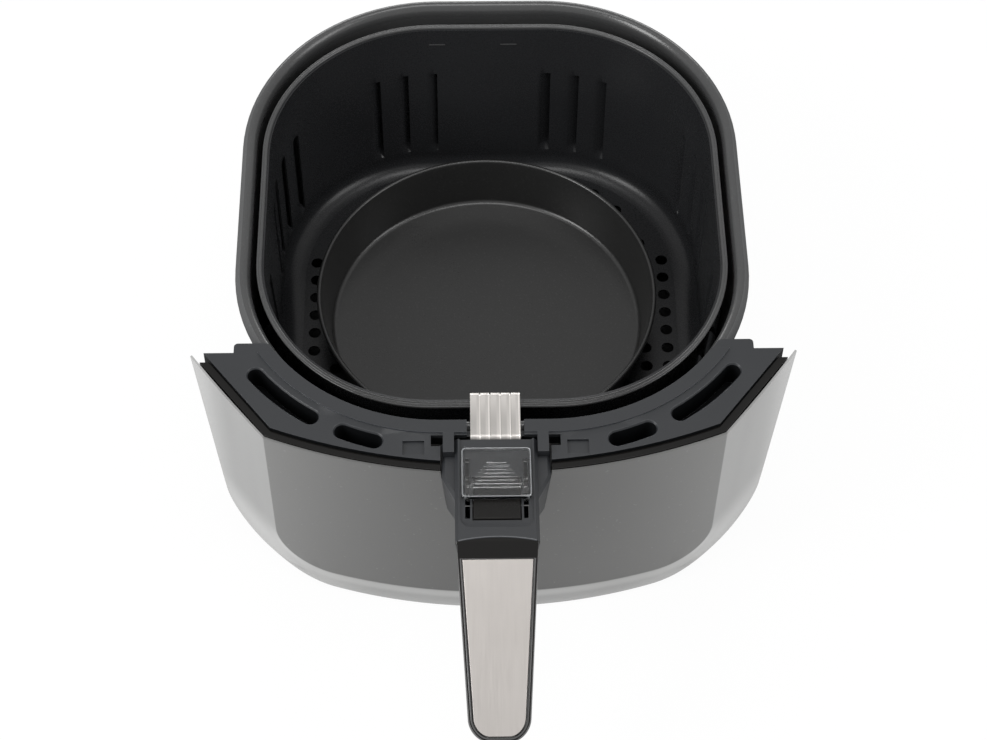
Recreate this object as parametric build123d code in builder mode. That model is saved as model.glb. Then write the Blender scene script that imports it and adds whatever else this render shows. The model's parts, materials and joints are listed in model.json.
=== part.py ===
from build123d import *

import os
from math import atan2, cos, degrees, hypot, radians, sin, tan

os.makedirs("parts", exist_ok=True)

# Drawer of an air fryer, in millimetres. The origin is the middle of the pan's resting base, +Z is up,
# the handle points to -Y and the drawer slides along Y.

# Outer pan
pan_width = 255.0
pan_length = 278.0
pan_height = 126.0
pan_corner = 101.4
pan_wall = 1.2
pan_draft = 5.0
pan_edge_radius = 14.0
bead_width = 7.5
bead_height = 6.5
bead_round = 3.2
edge_bands = 2

# Basket
basket_side_gap = 3.5
basket_end_gap = 9.0
basket_drop = 2.0
basket_depth = 95.0
basket_corner = 87.3
basket_wall = 1.0
basket_flange = 3.0
flange_thickness = 1.2
basket_side_draft = 4.5
basket_end_draft = 13.0
basket_edge_radius = 9.5

# Floor holes
hole_diameter = 6.5
hole_pitch = 11.8
hole_sides = 8
hole_field_overlap = 1.5
hole_end_margin = 1.5
full_column = 7
open_field = 6.0

# Wall louvres
louvre_width = 6.5
louvre_length = 55.0
louvre_depth = 3.2
louvre_skin = 0.9
louvre_cap = 1.0
louvre_pitch = 15.8
louvre_foot_rise = 1.5
end_louvres = 3
end_louvre_start = 31.0
side_louvres = 4
side_louvre_start = 20.5

# Baking tin
tin_radius = 89.0
tin_height = 29.4
tin_taper = 4.0
tin_wall = 0.8
tin_edge_radius = 4.5
tin_bead = 2.4
tin_shift_x = -1.5
tin_shift_y = -7.5

# Drawer front
panel_reach = 24.5
panel_wall = 1.0
crease_inset = 18.5
crease_reach = 3.2
crease_round = 3.0
wing_overhang = 18.5
wing_setback = 44.2
wing_foot_inset = 11.0
wing_foot_rise = 7.5
wing_corner = 22.0
lip_height = 15.0
lip_recess = 2.5
lip_depth = 11.0
cut_margin = 1.0
wing_run_on = 40.0
backing_wall = 3.8
backing_rise = 0.6
backing_foot = 16.0
backing_setback = 4.0
seat_gap = 0.2

# Drawer frame
deck_thickness = 2.5
deck_cover = 4.0
border_width = 7.0
border_rise = 0.8
ear_round = 2.0
ear_reach = 5.5
ear_inset = 2.5
skirt_wall = 2.0
skirt_depth = 12.0
bridge_wall = 3.0
bead_clearance = 0.4
vent_reach = 11.0
vent_width = 7.8
vent_wall = 1.2
vent_depth = 14.0
vent_chamfer = 0.7
long_vent_start = -38.7
long_vent_sweep = -18.4
short_vent_start = -66.0
short_vent_sweep = -8.1
recess_x = 38.5
recess_width = 10.2
recess_length = 7.8
recess_depth = 1.4
clamp_thickness = 1.5
boss_radius = 3.2
boss_angles = (-33.0, -61.6)
boss_reach = 6.4

# Handle
root_offset = 7.5
root_half = 25.4
root_taper = 2.4
root_length = 18.5
shoulder_length = 12.0
neck_half = 19.3
neck_length = 55.5
neck_rise = 4.5
neck_chamfer = 1.6
neck_end_height = 22.5
neck_roof = 3.0
ledge_drop = 3.4
channel_half = 16.9
channel_depth = 1.0
channel_stop = 7.6
channel_round = 5.0
neck_wall = 2.0
cover_screw_setback = 2.0
neck_end_wall = 4.0
notch_depth = 28.0
notch_gap = 0.5
cavity_half = 15.5
post_inset = 0.7
post_width = 5.2
post_length = 11.0
post_overhang = 3.1
post_rise = 1.0
post_drop = 12.0
post_gap = 5.7
cover_thickness = 2.2
fit_gap = 0.2
slide_gap = 0.3

# Grip
grip_slope = 25.8
grip_length = 88.0
grip_half_start = 18.6
grip_half_end = 13.2
grip_end_round = 9.0
grip_upper_depth = 9.0
grip_lower_depth = 11.0
grip_lower_round = 6.0
grip_shell = 2.4
arch_rise = 2.4
arch_depth = 2.4
trim_start = 8.0
trim_margin = 1.9
trim_recess = 0.8
trim_thickness = 1.1
grip_screw_places = (26.0, 64.0)

# Bracket between basket and handle
bracket_half = 11.8
bracket_sheet = 0.8
flute_height = 0.5
flute_count = 5
flute_width = 4.2
bracket_lift = 3.4
bracket_bend = 3.0
bracket_inner_leg = 17.0
bracket_outer_leg = 20.0
bracket_screw_drop = 11.0
bracket_slot_half = 13.5
rivet_x = 6.0
rivet_radius = 1.6
rivet_drop = 9.0
rivet_tail_radius = 2.7
rivet_tail_height = 1.1

# Release button, latch and guard
button_half = 11.0
button_length = 22.4
button_offset = 21.1
button_proud = 0.7
button_skirt = 3.0
button_flange = 1.2
stem_width = 1.6
stem_half = 6.0
pivot_offset = 13.5
pivot_drop = 17.5
pin_radius = 1.5
pin_length = 35.0
hub_radius = 4.0
lever_half = 8.0
lever_arm = 16.0
contact_arm = 14.0
arm_thickness = 3.0
hook_leg = 2.6
hook_offset = 5.0
hook_drop = 12.0
nose_height = 4.5
nose_reach = 1.2
catch_height = 3.0
catch_half = 9.0
spring_sheet = 0.5
spring_foot_gap = 6.8
spring_bend_gap = 4.0
spring_half = 3.0
guard_half = 16.1
guard_length = 26.7
guard_offset = 6.5
guard_lift = 1.1
guard_plate = 1.5
guard_rim = 1.2
guard_rim_rise = 0.8
guard_corner = 2.0
guard_travel = 11.0
foot_inner = 12.6
foot_thickness = 1.7
foot_setback = 5.0
foot_length = 20.0
foot_toe = 0.9
grip_rib_count = 8
grip_rib_pitch = 1.9
grip_rib_step = 1.3
grip_rib_width = 0.8
grip_rib_rise = 0.5

# Screws
screw_radius = 1.5
screw_head_radius = 3.0
screw_head_height = 1.6
screw_bite = 6.0

# Worked out from the sizes above
pan_half_x = pan_width / 2
pan_half_y = pan_length / 2
mouth = (pan_half_x - bead_width, pan_half_y - bead_width, pan_corner - bead_width)
bead_foot = pan_height - bead_height
rim_half_x = mouth[0] - basket_side_gap
rim_half_y = mouth[1] - basket_end_gap
rim_z = pan_height - basket_drop
floor_z = rim_z - basket_depth
basket_face = tuple(
    size - basket_flange + basket_wall for size in (rim_half_x, rim_half_y, basket_corner)
)
floor_half_x = basket_face[0] - basket_side_draft - basket_edge_radius
floor_half_y = basket_face[1] - basket_end_draft - basket_edge_radius
floor_corner = basket_face[2] - basket_side_draft - basket_edge_radius
wall_foot_z = floor_z - basket_wall + basket_edge_radius
corner_x = pan_half_x - pan_corner
corner_y = pan_half_y - pan_corner
nose_y = -pan_half_y - panel_reach
crease = (pan_half_x - crease_inset, -pan_half_y - crease_reach)
wing_tip = (pan_half_x + wing_overhang, -pan_half_y + wing_setback)
frame_inset = panel_wall + backing_wall + 2 * seat_gap
deck_top = pan_height + deck_thickness
root_y = -pan_half_y - root_offset
seat_z = pan_height - notch_depth
neck_top = pan_height + neck_rise
neck_end_y = root_y - neck_length
shoulder_y = root_y - root_length
notch_half = root_half + notch_gap
notch_foot_half = notch_half - root_taper


def rounded_section(height, half_x, half_y, radius):
    """Horizontal rounded rectangle at a height."""
    with BuildSketch(Plane.XY.offset(height)) as section:
        RectangleRounded(2 * half_x, 2 * half_y, radius)
    return section.sketch


def bowl_sections(face, drafts, floor, edge_radius, mouth_z, skin):
    """Sections of a pressed bowl: flat floor, banded lower edge and drafted wall, thinned by skin."""
    half_x, half_y, corner = (size - skin for size in face)
    radius = edge_radius - skin
    sections = []
    for band in range(edge_bands + 1):
        turn = radians(90 * band / edge_bands)
        inset = radius * (1 - sin(turn))
        height = floor + skin + radius * (1 - cos(turn))
        sections.append(
            rounded_section(
                height, half_x - drafts[0] - inset, half_y - drafts[1] - inset, corner - drafts[0] - inset
            )
        )
    sections.append(rounded_section(mouth_z, half_x, half_y, corner))
    return sections


def front_outline(inset, height, run_on=wing_run_on):
    """Plan of the drawer's front, moved inwards by inset: two swept wings and an arched face."""
    reach = (wing_tip[0] - crease[0], wing_tip[1] - crease[1])
    tail = tuple(tip + reach_part * run_on / reach[1] for tip, reach_part in zip(wing_tip, reach))
    with BuildSketch(Plane.XY.offset(height)) as outline:
        with BuildLine():
            Polyline((-crease[0], crease[1]), (-tail[0], tail[1]), tail, crease)
            ThreePointArc(crease, (0, nose_y), (-crease[0], crease[1]))
        make_face()
        fillet(outline.vertices().group_by(Axis.Y)[0], crease_round)
        if inset:
            offset(amount=-inset, mode=Mode.REPLACE)
    return outline.sketch


def shield_outline(inset, top):
    """Front view of the drawer's front: leaning sides, round lower corners and a bowed lower edge."""
    foot = (wing_tip[0] - wing_foot_inset, wing_foot_rise)
    with BuildSketch(Plane.XZ) as shield:
        with BuildLine():
            Polyline((-foot[0], foot[1]), (-wing_tip[0], top + inset), (wing_tip[0], top + inset), foot)
            ThreePointArc(foot, (0, 0), (-foot[0], foot[1]))
        make_face()
        fillet(shield.vertices().group_by(Axis.Y)[0], wing_corner)
        if inset:
            offset(amount=-inset, mode=Mode.REPLACE)
    return shield.sketch


def panel_form(inset, top, run_on=wing_run_on):
    """Solid bounded by the drawer's front moved inwards by inset, with a lip that leans in below the face."""
    lean = lip_recess * (lip_height + cut_margin) / lip_height
    with BuildPart() as form:
        lip_top = front_outline(inset, lip_height, run_on)
        loft([front_outline(inset + lean, -cut_margin, run_on), lip_top], ruled=True)
        extrude(lip_top, amount=top - lip_height)
        extrude(shield_outline(inset, top), amount=pan_length, mode=Mode.INTERSECT)
    return form.part


def box_between(low, high, mode=Mode.ADD):
    """Box given by two opposite corners."""
    size = [top - bottom for bottom, top in zip(low, high)]
    with Locations(tuple(low)):
        Box(*size, align=(Align.MIN, Align.MIN, Align.MIN), mode=mode)


# Outer pan
pan_face = tuple(size + pan_wall for size in mouth)
pan_drafts = (pan_draft, pan_draft)
with BuildPart() as outer_pan:
    loft(bowl_sections(pan_face, pan_drafts, 0, pan_edge_radius, bead_foot, 0), ruled=True)
    loft(
        bowl_sections(pan_face, pan_drafts, 0, pan_edge_radius, bead_foot, pan_wall),
        ruled=True,
        mode=Mode.SUBTRACT,
    )
    with BuildSketch(Plane.XY.offset(bead_foot)):
        RectangleRounded(pan_width, pan_length, pan_corner)
        RectangleRounded(2 * mouth[0], 2 * mouth[1], mouth[2], mode=Mode.SUBTRACT)
    extrude(amount=bead_height)
    fillet(outer_pan.edges().group_by(Axis.Z)[-1], bead_round)
outer_pan.part.label = "outer_pan"
export_step(outer_pan.part, "parts/outer_pan.step")

# Front panel with the notch that the handle passes through
panel_shape = panel_form(0, pan_height)
panel_core = panel_form(panel_wall, pan_height + panel_wall, 2 * wing_run_on)
with BuildSketch(Plane.XZ) as handle_notch:
    with BuildLine():
        Polyline(
            (-notch_foot_half, seat_z),
            (-notch_half, pan_height),
            (-notch_half, deck_top),
            (notch_half, deck_top),
            (notch_half, pan_height),
            (notch_foot_half, seat_z),
            close=True,
        )
    make_face()
with BuildPart() as front_panel:
    add(panel_shape)
    add(panel_core, mode=Mode.SUBTRACT)
    extrude(front_outline(lip_depth, -cut_margin, 2 * wing_run_on), amount=pan_height, mode=Mode.SUBTRACT)
    extrude(handle_notch.sketch, amount=pan_length, mode=Mode.SUBTRACT)
    box_between((-pan_width, wing_tip[1], -cut_margin), (pan_width, 0, pan_height), mode=Mode.SUBTRACT)
front_panel.part.label = "front_panel"
export_step(front_panel.part, "parts/front_panel.step")

# Backing of the front panel, with the ledge that the latch's hook works under
latch_y = root_y - hook_offset
catch_rear = latch_y - hook_leg - nose_reach - slide_gap
nose_top = seat_z - hook_drop + nose_height
backing_shape = panel_form(panel_wall + seat_gap, pan_height + backing_rise)
backing_core = panel_form(frame_inset - seat_gap, pan_height + backing_rise + frame_inset, 2 * wing_run_on)
with BuildPart() as panel_backing:
    add(backing_shape)
    add(backing_core, mode=Mode.SUBTRACT)
    box_between((-pan_width, -pan_length, -cut_margin), (pan_width, 0, backing_foot), mode=Mode.SUBTRACT)
    box_between(
        (-pan_width, wing_tip[1] - backing_setback, 0), (pan_width, 0, pan_length), mode=Mode.SUBTRACT
    )
    extrude(handle_notch.sketch, amount=pan_length, mode=Mode.SUBTRACT)
    box_between(
        (-catch_half, nose_y + frame_inset - backing_wall / 2, nose_top + slide_gap),
        (catch_half, catch_rear, nose_top + slide_gap + catch_height),
    )
panel_backing.part.label = "panel_backing"
export_step(panel_backing.part, "parts/panel_backing.step")

# Drawer frame: slotted deck over the pan's rim, with a skirt, a bridge and screw bosses below
vent_radius = pan_corner + vent_reach
boss_points = [
    (side * (corner_x + (pan_corner + boss_reach) * cos(radians(angle))),
     -corner_y + (pan_corner + boss_reach) * sin(radians(angle)))
    for side in (-1, 1)
    for angle in boss_angles
]
ear_y = wing_tip[1] + ear_reach
ear_half = pan_half_x - ear_inset
wide_notch_half = root_half - post_inset + post_gap
wide_notch_rear = root_y + post_overhang + slide_gap
wide_notch_front = root_y - post_length + post_overhang + post_width


def keep_front(rear_y):
    """Remove from the open sketch all that lies behind rear_y."""
    with Locations((0, rear_y + pan_length)):
        Rectangle(2 * pan_width, 2 * pan_length, mode=Mode.SUBTRACT)


def vent_sketch(height, width):
    """Two curved slots on each side of the deck, concentric with the pan's corners."""
    with BuildSketch(Plane.XY.offset(height)) as vents:
        for side in (-1, 1):
            for start, sweep in ((long_vent_start, long_vent_sweep), (short_vent_start, short_vent_sweep)):
                vent_start = start if side > 0 else 180 - start
                with BuildLine(mode=Mode.PRIVATE) as vent_line:
                    CenterArc((side * corner_x, -corner_y), vent_radius, vent_start, side * sweep)
                SlotArc(vent_line.edges()[0], width)
    return vents.sketch


def rim_outline(growth):
    """Outline of the pan's rim, moved outwards by growth."""
    return rounded_section(0, pan_half_x + growth, pan_half_y + growth, pan_corner + growth)


def rim_ring(height, outer, inner):
    """Front part of a ring that follows the pan's rim, between two offsets from it."""
    with BuildSketch(Plane.XY.offset(height)) as ring:
        add(rim_outline(outer))
        add(rim_outline(inner), mode=Mode.SUBTRACT)
        keep_front(wing_tip[1])
    return ring.sketch


with BuildPart() as drawer_frame:
    with BuildSketch(Plane.XY.offset(pan_height)) as deck:
        add(front_outline(frame_inset, 0))
        keep_front(ear_y)
        for side in (-1, 1):
            with Locations((side * (ear_half + pan_width / 2), wing_tip[1] + pan_length / 2)):
                Rectangle(pan_width, pan_length, mode=Mode.SUBTRACT)
        add(rim_outline(-deck_cover), mode=Mode.SUBTRACT)
        fillet(deck.vertices().group_by(Axis.Y)[-1], ear_round)
    extrude(amount=deck_thickness)
    extrude(rim_ring(deck_top, border_width - deck_cover, -deck_cover), amount=border_rise)
    with BuildSketch(Plane.XY.offset(pan_height - skirt_depth)) as skirt:
        add(front_outline(frame_inset, 0))
        add(front_outline(frame_inset + skirt_wall, 0, 2 * wing_run_on), mode=Mode.SUBTRACT)
        keep_front(wing_tip[1])
        with Locations((0, nose_y)):
            Rectangle(2 * notch_half, 2 * panel_reach, mode=Mode.SUBTRACT)
    extrude(amount=skirt_depth)
    extrude(rim_ring(bead_foot, bead_clearance + bridge_wall, bead_clearance), amount=bead_height)
    with BuildSketch(Plane.XY.offset(bead_foot)):
        with Locations(*boss_points):
            Circle(boss_radius)
    extrude(amount=bead_height)
    vent_foot = pan_height - vent_depth
    extrude(vent_sketch(vent_foot, vent_width + 2 * vent_wall), amount=vent_depth)
    vents = vent_sketch(vent_foot + vent_wall, vent_width)
    extrude(vents, amount=vent_depth + deck_thickness, mode=Mode.SUBTRACT)
    deck_face = drawer_frame.faces().filter_by(Plane.XY).filter_by_position(Axis.Z, deck_top, deck_top)
    chamfer(deck_face.sort_by(SortBy.AREA)[-1].inner_wires().edges(), vent_chamfer)
    box_between(
        (-wide_notch_half, wide_notch_front, pan_height),
        (wide_notch_half, wide_notch_rear, deck_top + border_rise),
        mode=Mode.SUBTRACT,
    )
    box_between(
        (-notch_half, nose_y, pan_height), (notch_half, wide_notch_front, deck_top), mode=Mode.SUBTRACT
    )
    box_between(
        (-bracket_slot_half, wide_notch_front, pan_height),
        (bracket_slot_half, -rim_half_y, deck_top + border_rise),
        mode=Mode.SUBTRACT,
    )
    for side in (-1, 1):
        with Locations((side * recess_x, wide_notch_front + post_overhang - recess_length / 2, deck_top)):
            Box(recess_width, recess_length, 2 * recess_depth, mode=Mode.SUBTRACT)
    with Locations(*[(x, y, bead_foot) for x, y in boss_points]):
        Cylinder(screw_radius, 2 * screw_bite, mode=Mode.SUBTRACT)
drawer_frame.part.label = "drawer_frame"
export_step(drawer_frame.part, "parts/drawer_frame.step")

# Strap that clamps the pan's rim bead to the frame, and its screws
with BuildPart() as rim_clamp:
    clamp_z = bead_foot - clamp_thickness
    extrude(
        rim_ring(clamp_z, bead_clearance + bridge_wall, pan_wall - bead_width + bead_clearance),
        amount=clamp_thickness,
    )
    with BuildSketch(Plane.XY.offset(clamp_z)):
        with Locations(*boss_points):
            Circle(boss_radius)
    extrude(amount=clamp_thickness)
    with Locations(*[(x, y, clamp_z) for x, y in boss_points]):
        Cylinder(screw_radius + fit_gap, 2 * screw_bite, mode=Mode.SUBTRACT)
rim_clamp.part.label = "rim_clamp"
export_step(rim_clamp.part, "parts/rim_clamp.step")


def pan_head_screw(places, shank):
    """Screws whose heads lie behind the origins of places and whose shanks run along their normals."""
    with Locations(*places):
        Cylinder(screw_radius, shank, align=(Align.CENTER, Align.CENTER, Align.MIN))
        Cylinder(screw_head_radius, screw_head_height, align=(Align.CENTER, Align.CENTER, Align.MAX))


with BuildPart() as clamp_screws:
    pan_head_screw(
        [Plane((x, y, bead_foot - clamp_thickness)) for x, y in boss_points], clamp_thickness + screw_bite
    )
clamp_screws.part.label = "clamp_screws"
export_step(clamp_screws.part, "parts/clamp_screws.step")


# Basket wall with pressed louvres that all open the same way round
def wall_place(facing, along, face, drafts, height):
    """Point on the middle of a basket wall and the wall's outward normal, along mm from its centre line."""
    half_x, half_y, corner = (size - basket_wall / 2 for size in face)
    lean = (height - wall_foot_z) / (rim_z - wall_foot_z)
    half_x -= drafts[0] * (1 - lean)
    half_y -= drafts[1] * (1 - lean)
    corner -= drafts[0] * (1 - lean)
    across, ahead = (half_x, half_y) if facing % 180 else (half_y, half_x)
    straight = across - corner
    side = 1 if along > 0 else -1
    bend = max(abs(along) - straight, 0) / corner
    sideways = side * (min(abs(along), straight) + corner * sin(bend))
    outwards = ahead - corner * (1 - cos(bend))
    out = Vector(1, 0).rotate(Axis.Z, facing)
    tangent = Vector(0, 1).rotate(Axis.Z, facing)
    point = out * outwards + tangent * sideways + Vector(0, 0, height)
    return point, out * cos(bend) + tangent * (side * sin(bend))


def wall_face_y(height):
    """Inner face of the basket's front wall at a height."""
    lean = (rim_z - height) / (rim_z - wall_foot_z)
    return -(basket_face[1] - basket_wall - basket_end_draft * lean)


def louvre_planes():
    """Planes at the louvres' upper ends: X runs round the basket, Y points outwards, Z down the wall."""
    planes = []
    foot = wall_foot_z + louvre_foot_rise
    for facing in (0, 90, 180, 270):
        count, start = (end_louvres, end_louvre_start) if facing % 180 else (side_louvres, side_louvre_start)
        for side in (-1, 1):
            for number in range(count):
                along = side * (start + number * louvre_pitch)
                low, _ = wall_place(facing, along, basket_face, basket_drafts, foot)
                high, normal = wall_place(facing, along, basket_face, basket_drafts, foot + louvre_length)
                planes.append(Plane(high, x_dir=Vector(-normal.Y, normal.X), z_dir=low - high))
    return planes


basket_drafts = (basket_side_draft, basket_end_draft)
bracket_thickness = bracket_sheet + flute_height
scoop_slope = (louvre_depth - basket_wall / 2) / louvre_width
scoop_drop = louvre_skin * hypot(1, scoop_slope)
rivet_z = rim_z - rivet_drop
rivet_lean = atan2(basket_end_draft, rim_z - wall_foot_z)
rivet_places = [
    Plane((x, wall_face_y(rivet_z), rivet_z), x_dir=(1, 0, 0), z_dir=(0, -cos(rivet_lean), -sin(rivet_lean)))
    for x in (-rivet_x, rivet_x)
]
rivet_grip = bracket_thickness + basket_wall + 4 * fit_gap
with BuildPart() as basket_shell:
    shell_floor = floor_z - basket_wall
    loft(bowl_sections(basket_face, basket_drafts, shell_floor, basket_edge_radius, rim_z, 0), ruled=True)
    with BuildSketch(Plane.XY.offset(rim_z - flange_thickness)):
        RectangleRounded(2 * rim_half_x, 2 * rim_half_y, basket_corner)
    extrude(amount=flange_thickness)
    loft(
        bowl_sections(basket_face, basket_drafts, shell_floor, basket_edge_radius, rim_z, basket_wall),
        ruled=True,
        mode=Mode.SUBTRACT,
    )
    extrude(
        rounded_section(shell_floor, floor_half_x, floor_half_y, floor_corner),
        amount=basket_wall,
        mode=Mode.SUBTRACT,
    )
    planes = louvre_planes()
    with BuildSketch(*planes) as scoops:
        with BuildLine():
            Polyline(
                (louvre_width / 2, 0),
                (louvre_width / 2, basket_wall / 2),
                (-louvre_width / 2, louvre_depth),
                (-louvre_width / 2, 0),
                close=True,
            )
        make_face()
    extrude(amount=louvre_length)
    with BuildSketch(*[plane.offset(louvre_cap) for plane in planes]) as slits:
        with BuildLine():
            Polyline(
                (louvre_width / 2, basket_wall / 2 - scoop_drop),
                (louvre_width / 2, -louvre_width),
                (-louvre_width / 2, -louvre_width),
                (-louvre_width / 2, basket_wall),
                (-louvre_width, basket_wall),
                (-louvre_width, basket_wall / 2 + 1.5 * louvre_width * scoop_slope - scoop_drop),
                close=True,
            )
        make_face()
    extrude(amount=louvre_length - 2 * louvre_cap, mode=Mode.SUBTRACT)
    with Locations(*rivet_places):
        Cylinder(rivet_radius + fit_gap / 2, 2 * rivet_grip, mode=Mode.SUBTRACT)
basket_shell.part.label = "basket_shell"
export_step(basket_shell.part, "parts/basket_shell.step")

# Perforated floor: open field under the tin, staggered rows around it and full columns along both sides
field_x = floor_half_x + hole_field_overlap
field_y = floor_half_y - hole_end_margin
reach_x = int(field_x / hole_pitch)
reach_y = int(field_y / hole_pitch)
hole_places = [
    (column * hole_pitch, row * hole_pitch)
    for column in range(-reach_x, reach_x + 1)
    for row in range(-reach_y, reach_y + 1)
    if hypot(column * hole_pitch / field_x, row * hole_pitch / field_y) < 1
    and (abs(column) >= full_column or (column + row) % 2 == 0)
    and (hypot(column, row) > open_field or column % 2 == 0)
]
with BuildPart() as basket_floor:
    with BuildSketch(Plane.XY.offset(floor_z - basket_wall)):
        RectangleRounded(2 * floor_half_x, 2 * floor_half_y, floor_corner)
        with Locations(*hole_places):
            RegularPolygon(hole_diameter / 2, hole_sides, mode=Mode.SUBTRACT)
    extrude(amount=basket_wall)
basket_floor.part.label = "basket_floor"
export_step(basket_floor.part, "parts/basket_floor.step")

# Fluted steel bracket over the basket's front rim, with its rivets and screws
bracket_z = rim_z + bracket_lift
bracket_screw_z = bracket_z - bracket_screw_drop
bracket_screw_places = [
    Plane((x, root_y + bracket_thickness, bracket_screw_z), x_dir=(1, 0, 0), z_dir=(0, -1, 0))
    for x in (-rivet_x, rivet_x)
]


def bracket_strip(depth, half_width, x):
    """Bent strip of the bracket, lying depth inside the bracket's outer face."""
    inner_foot = rim_z - bracket_inner_leg
    centre = depth / 2
    with BuildSketch(Plane.YZ.offset(x)) as strip:
        with BuildLine() as path:
            FilletPolyline(
                (wall_face_y(inner_foot) + centre + fit_gap, inner_foot),
                (wall_face_y(rim_z) + centre + fit_gap, bracket_z + centre),
                (root_y + centre, bracket_z + centre),
                (root_y + centre, bracket_z - bracket_outer_leg),
                radius=bracket_bend,
            )
        trace(path.line, depth)
    extrude(strip.sketch, amount=half_width, both=True)


with BuildPart() as basket_bracket:
    bracket_strip(bracket_sheet, bracket_half, 0)
    flute_pitch = (2 * bracket_half - flute_width) / (flute_count - 1)
    for number in range(flute_count):
        bracket_strip(
            bracket_thickness, flute_width / 2, -bracket_half + flute_width / 2 + number * flute_pitch
        )
    with Locations(*rivet_places):
        Cylinder(rivet_radius + fit_gap / 2, 2 * rivet_grip, mode=Mode.SUBTRACT)
    with Locations(*bracket_screw_places):
        Cylinder(screw_radius + fit_gap / 2, 4 * bracket_thickness, mode=Mode.SUBTRACT)
basket_bracket.part.label = "basket_bracket"
export_step(basket_bracket.part, "parts/basket_bracket.step")

with BuildPart() as bracket_rivets:
    head_places = [plane.offset(basket_wall + fit_gap - rivet_grip) for plane in rivet_places]
    with Locations(*head_places):
        Cylinder(rivet_radius, rivet_grip, align=(Align.CENTER, Align.CENTER, Align.MIN))
        Cylinder(2 * rivet_radius, rivet_radius, align=(Align.CENTER, Align.CENTER, Align.MAX))
    with Locations(*[plane.offset(rivet_grip) for plane in head_places]):
        Cylinder(rivet_tail_radius, rivet_tail_height, align=(Align.CENTER, Align.CENTER, Align.MIN))
bracket_rivets.part.label = "bracket_rivets"
export_step(bracket_rivets.part, "parts/bracket_rivets.step")

with BuildPart() as bracket_screws:
    pan_head_screw(bracket_screw_places, bracket_thickness + neck_wall)
bracket_screws.part.label = "bracket_screws"
export_step(bracket_screws.part, "parts/bracket_screws.step")

# Neck of the handle: root block that sits in the drawer's notch, shoulders and hollow neck
pivot_y = root_y - pivot_offset
pivot_z = neck_top - pivot_drop
button_rear = root_y - button_offset
button_front = button_rear - button_length
guard_rear = root_y - guard_offset
foot_rear = guard_rear - foot_setback
underside_slope = (neck_top - neck_end_height - seat_z) / (neck_length - root_length)
cavity_rear = root_y - neck_wall
cavity_front = neck_end_y + neck_end_wall
roof_z = neck_top - neck_roof
channel_z = neck_top - channel_depth


def underside_z(y):
    """Height of the neck's underside, which rises from the seat towards the grip."""
    return seat_z + max(shoulder_y - y, 0) * underside_slope


def neck_section(y, half, top):
    """Section across the neck at y, narrower below, with chamfered upper edges."""
    foot_half = half - root_taper
    with BuildSketch(Plane.XZ.offset(-y)) as section:
        Polygon(
            (-foot_half, underside_z(y)),
            (-half, top - neck_chamfer),
            (neck_chamfer - half, top),
            (half - neck_chamfer, top),
            (half, top - neck_chamfer),
            (foot_half, underside_z(y)),
            align=None,
        )
    return section.sketch


def arch_outline(gap):
    """Plan of the grip's arched tongue that is let into the neck's end, drawn in by gap."""
    with BuildSketch(Plane.XY.offset(neck_top)) as arch:
        with BuildLine():
            ThreePointArc(
                (-neck_half, neck_end_y), (0, neck_end_y + arch_rise - gap), (neck_half, neck_end_y)
            )
            Line((neck_half, neck_end_y), (-neck_half, neck_end_y))
        make_face()
    return arch.sketch


cover_angle = degrees(atan2(underside_slope, 1))
cover_screw_y = cavity_front + cover_screw_setback
cover_screw_places = [
    Plane(
        (x, cover_screw_y, underside_z(cover_screw_y)),
        x_dir=(1, 0, 0),
        z_dir=(0, sin(radians(cover_angle)), cos(radians(cover_angle))),
    )
    for x in (-button_half, button_half)
]
with BuildPart() as handle_neck:
    ledge_z = neck_top - ledge_drop
    loft(
        [
            neck_section(root_y, root_half, ledge_z),
            neck_section(shoulder_y, root_half, ledge_z),
            neck_section(shoulder_y - shoulder_length, neck_half, ledge_z),
        ],
        ruled=True,
    )
    loft([neck_section(y, neck_half, neck_top) for y in (root_y, shoulder_y, neck_end_y)], ruled=True)
    for side in (-1, 1):
        post_x = side * (root_half - post_inset - post_width / 2)
        with Locations((post_x, root_y + post_overhang, neck_top + post_rise)):
            Box(post_width, post_length, post_drop, align=(Align.CENTER, Align.MAX, Align.MAX))
    with BuildSketch(Plane.XY.offset(channel_z)) as channel:
        with Locations((0, neck_end_y + channel_stop)):
            Rectangle(2 * channel_half, neck_length, align=(Align.CENTER, Align.MIN))
        fillet(channel.vertices().group_by(Axis.Y)[0], channel_round)
    extrude(amount=channel_depth, mode=Mode.SUBTRACT)
    extrude(arch_outline(0), amount=-arch_depth, mode=Mode.SUBTRACT)
    box_between(
        (-cavity_half, cavity_front, 0), (cavity_half, cavity_rear, roof_z), mode=Mode.SUBTRACT
    )
    box_between(
        (-button_half - slide_gap, button_front - slide_gap, roof_z),
        (button_half + slide_gap, button_rear + slide_gap, neck_top),
        mode=Mode.SUBTRACT,
    )
    for side in (-1, 1):
        slot_length = foot_length + guard_travel + 2 * slide_gap
        with Locations((side * (foot_inner + foot_thickness / 2), foot_rear + slide_gap, neck_top)):
            Box(
                foot_thickness + 2 * slide_gap,
                slot_length,
                2 * neck_roof,
                align=(Align.CENTER, Align.MAX, Align.CENTER),
                mode=Mode.SUBTRACT,
            )
    with Locations(*[plane.offset(cover_thickness + slide_gap) for plane in cover_screw_places]):
        Cylinder(2 * screw_radius, 2 * screw_bite, align=(Align.CENTER, Align.CENTER, Align.MIN))
        Cylinder(screw_radius, 2 * screw_bite, mode=Mode.SUBTRACT)
    with Locations(Plane((0, pivot_y, pivot_z), z_dir=(1, 0, 0))):
        Cylinder(pin_radius + fit_gap / 2, pin_length + fit_gap, mode=Mode.SUBTRACT)
    with Locations(*bracket_screw_places):
        Cylinder(screw_radius + fit_gap / 2, 4 * neck_wall, mode=Mode.SUBTRACT)
handle_neck.part.label = "handle_neck"
export_step(handle_neck.part, "parts/handle_neck.step")


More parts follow.
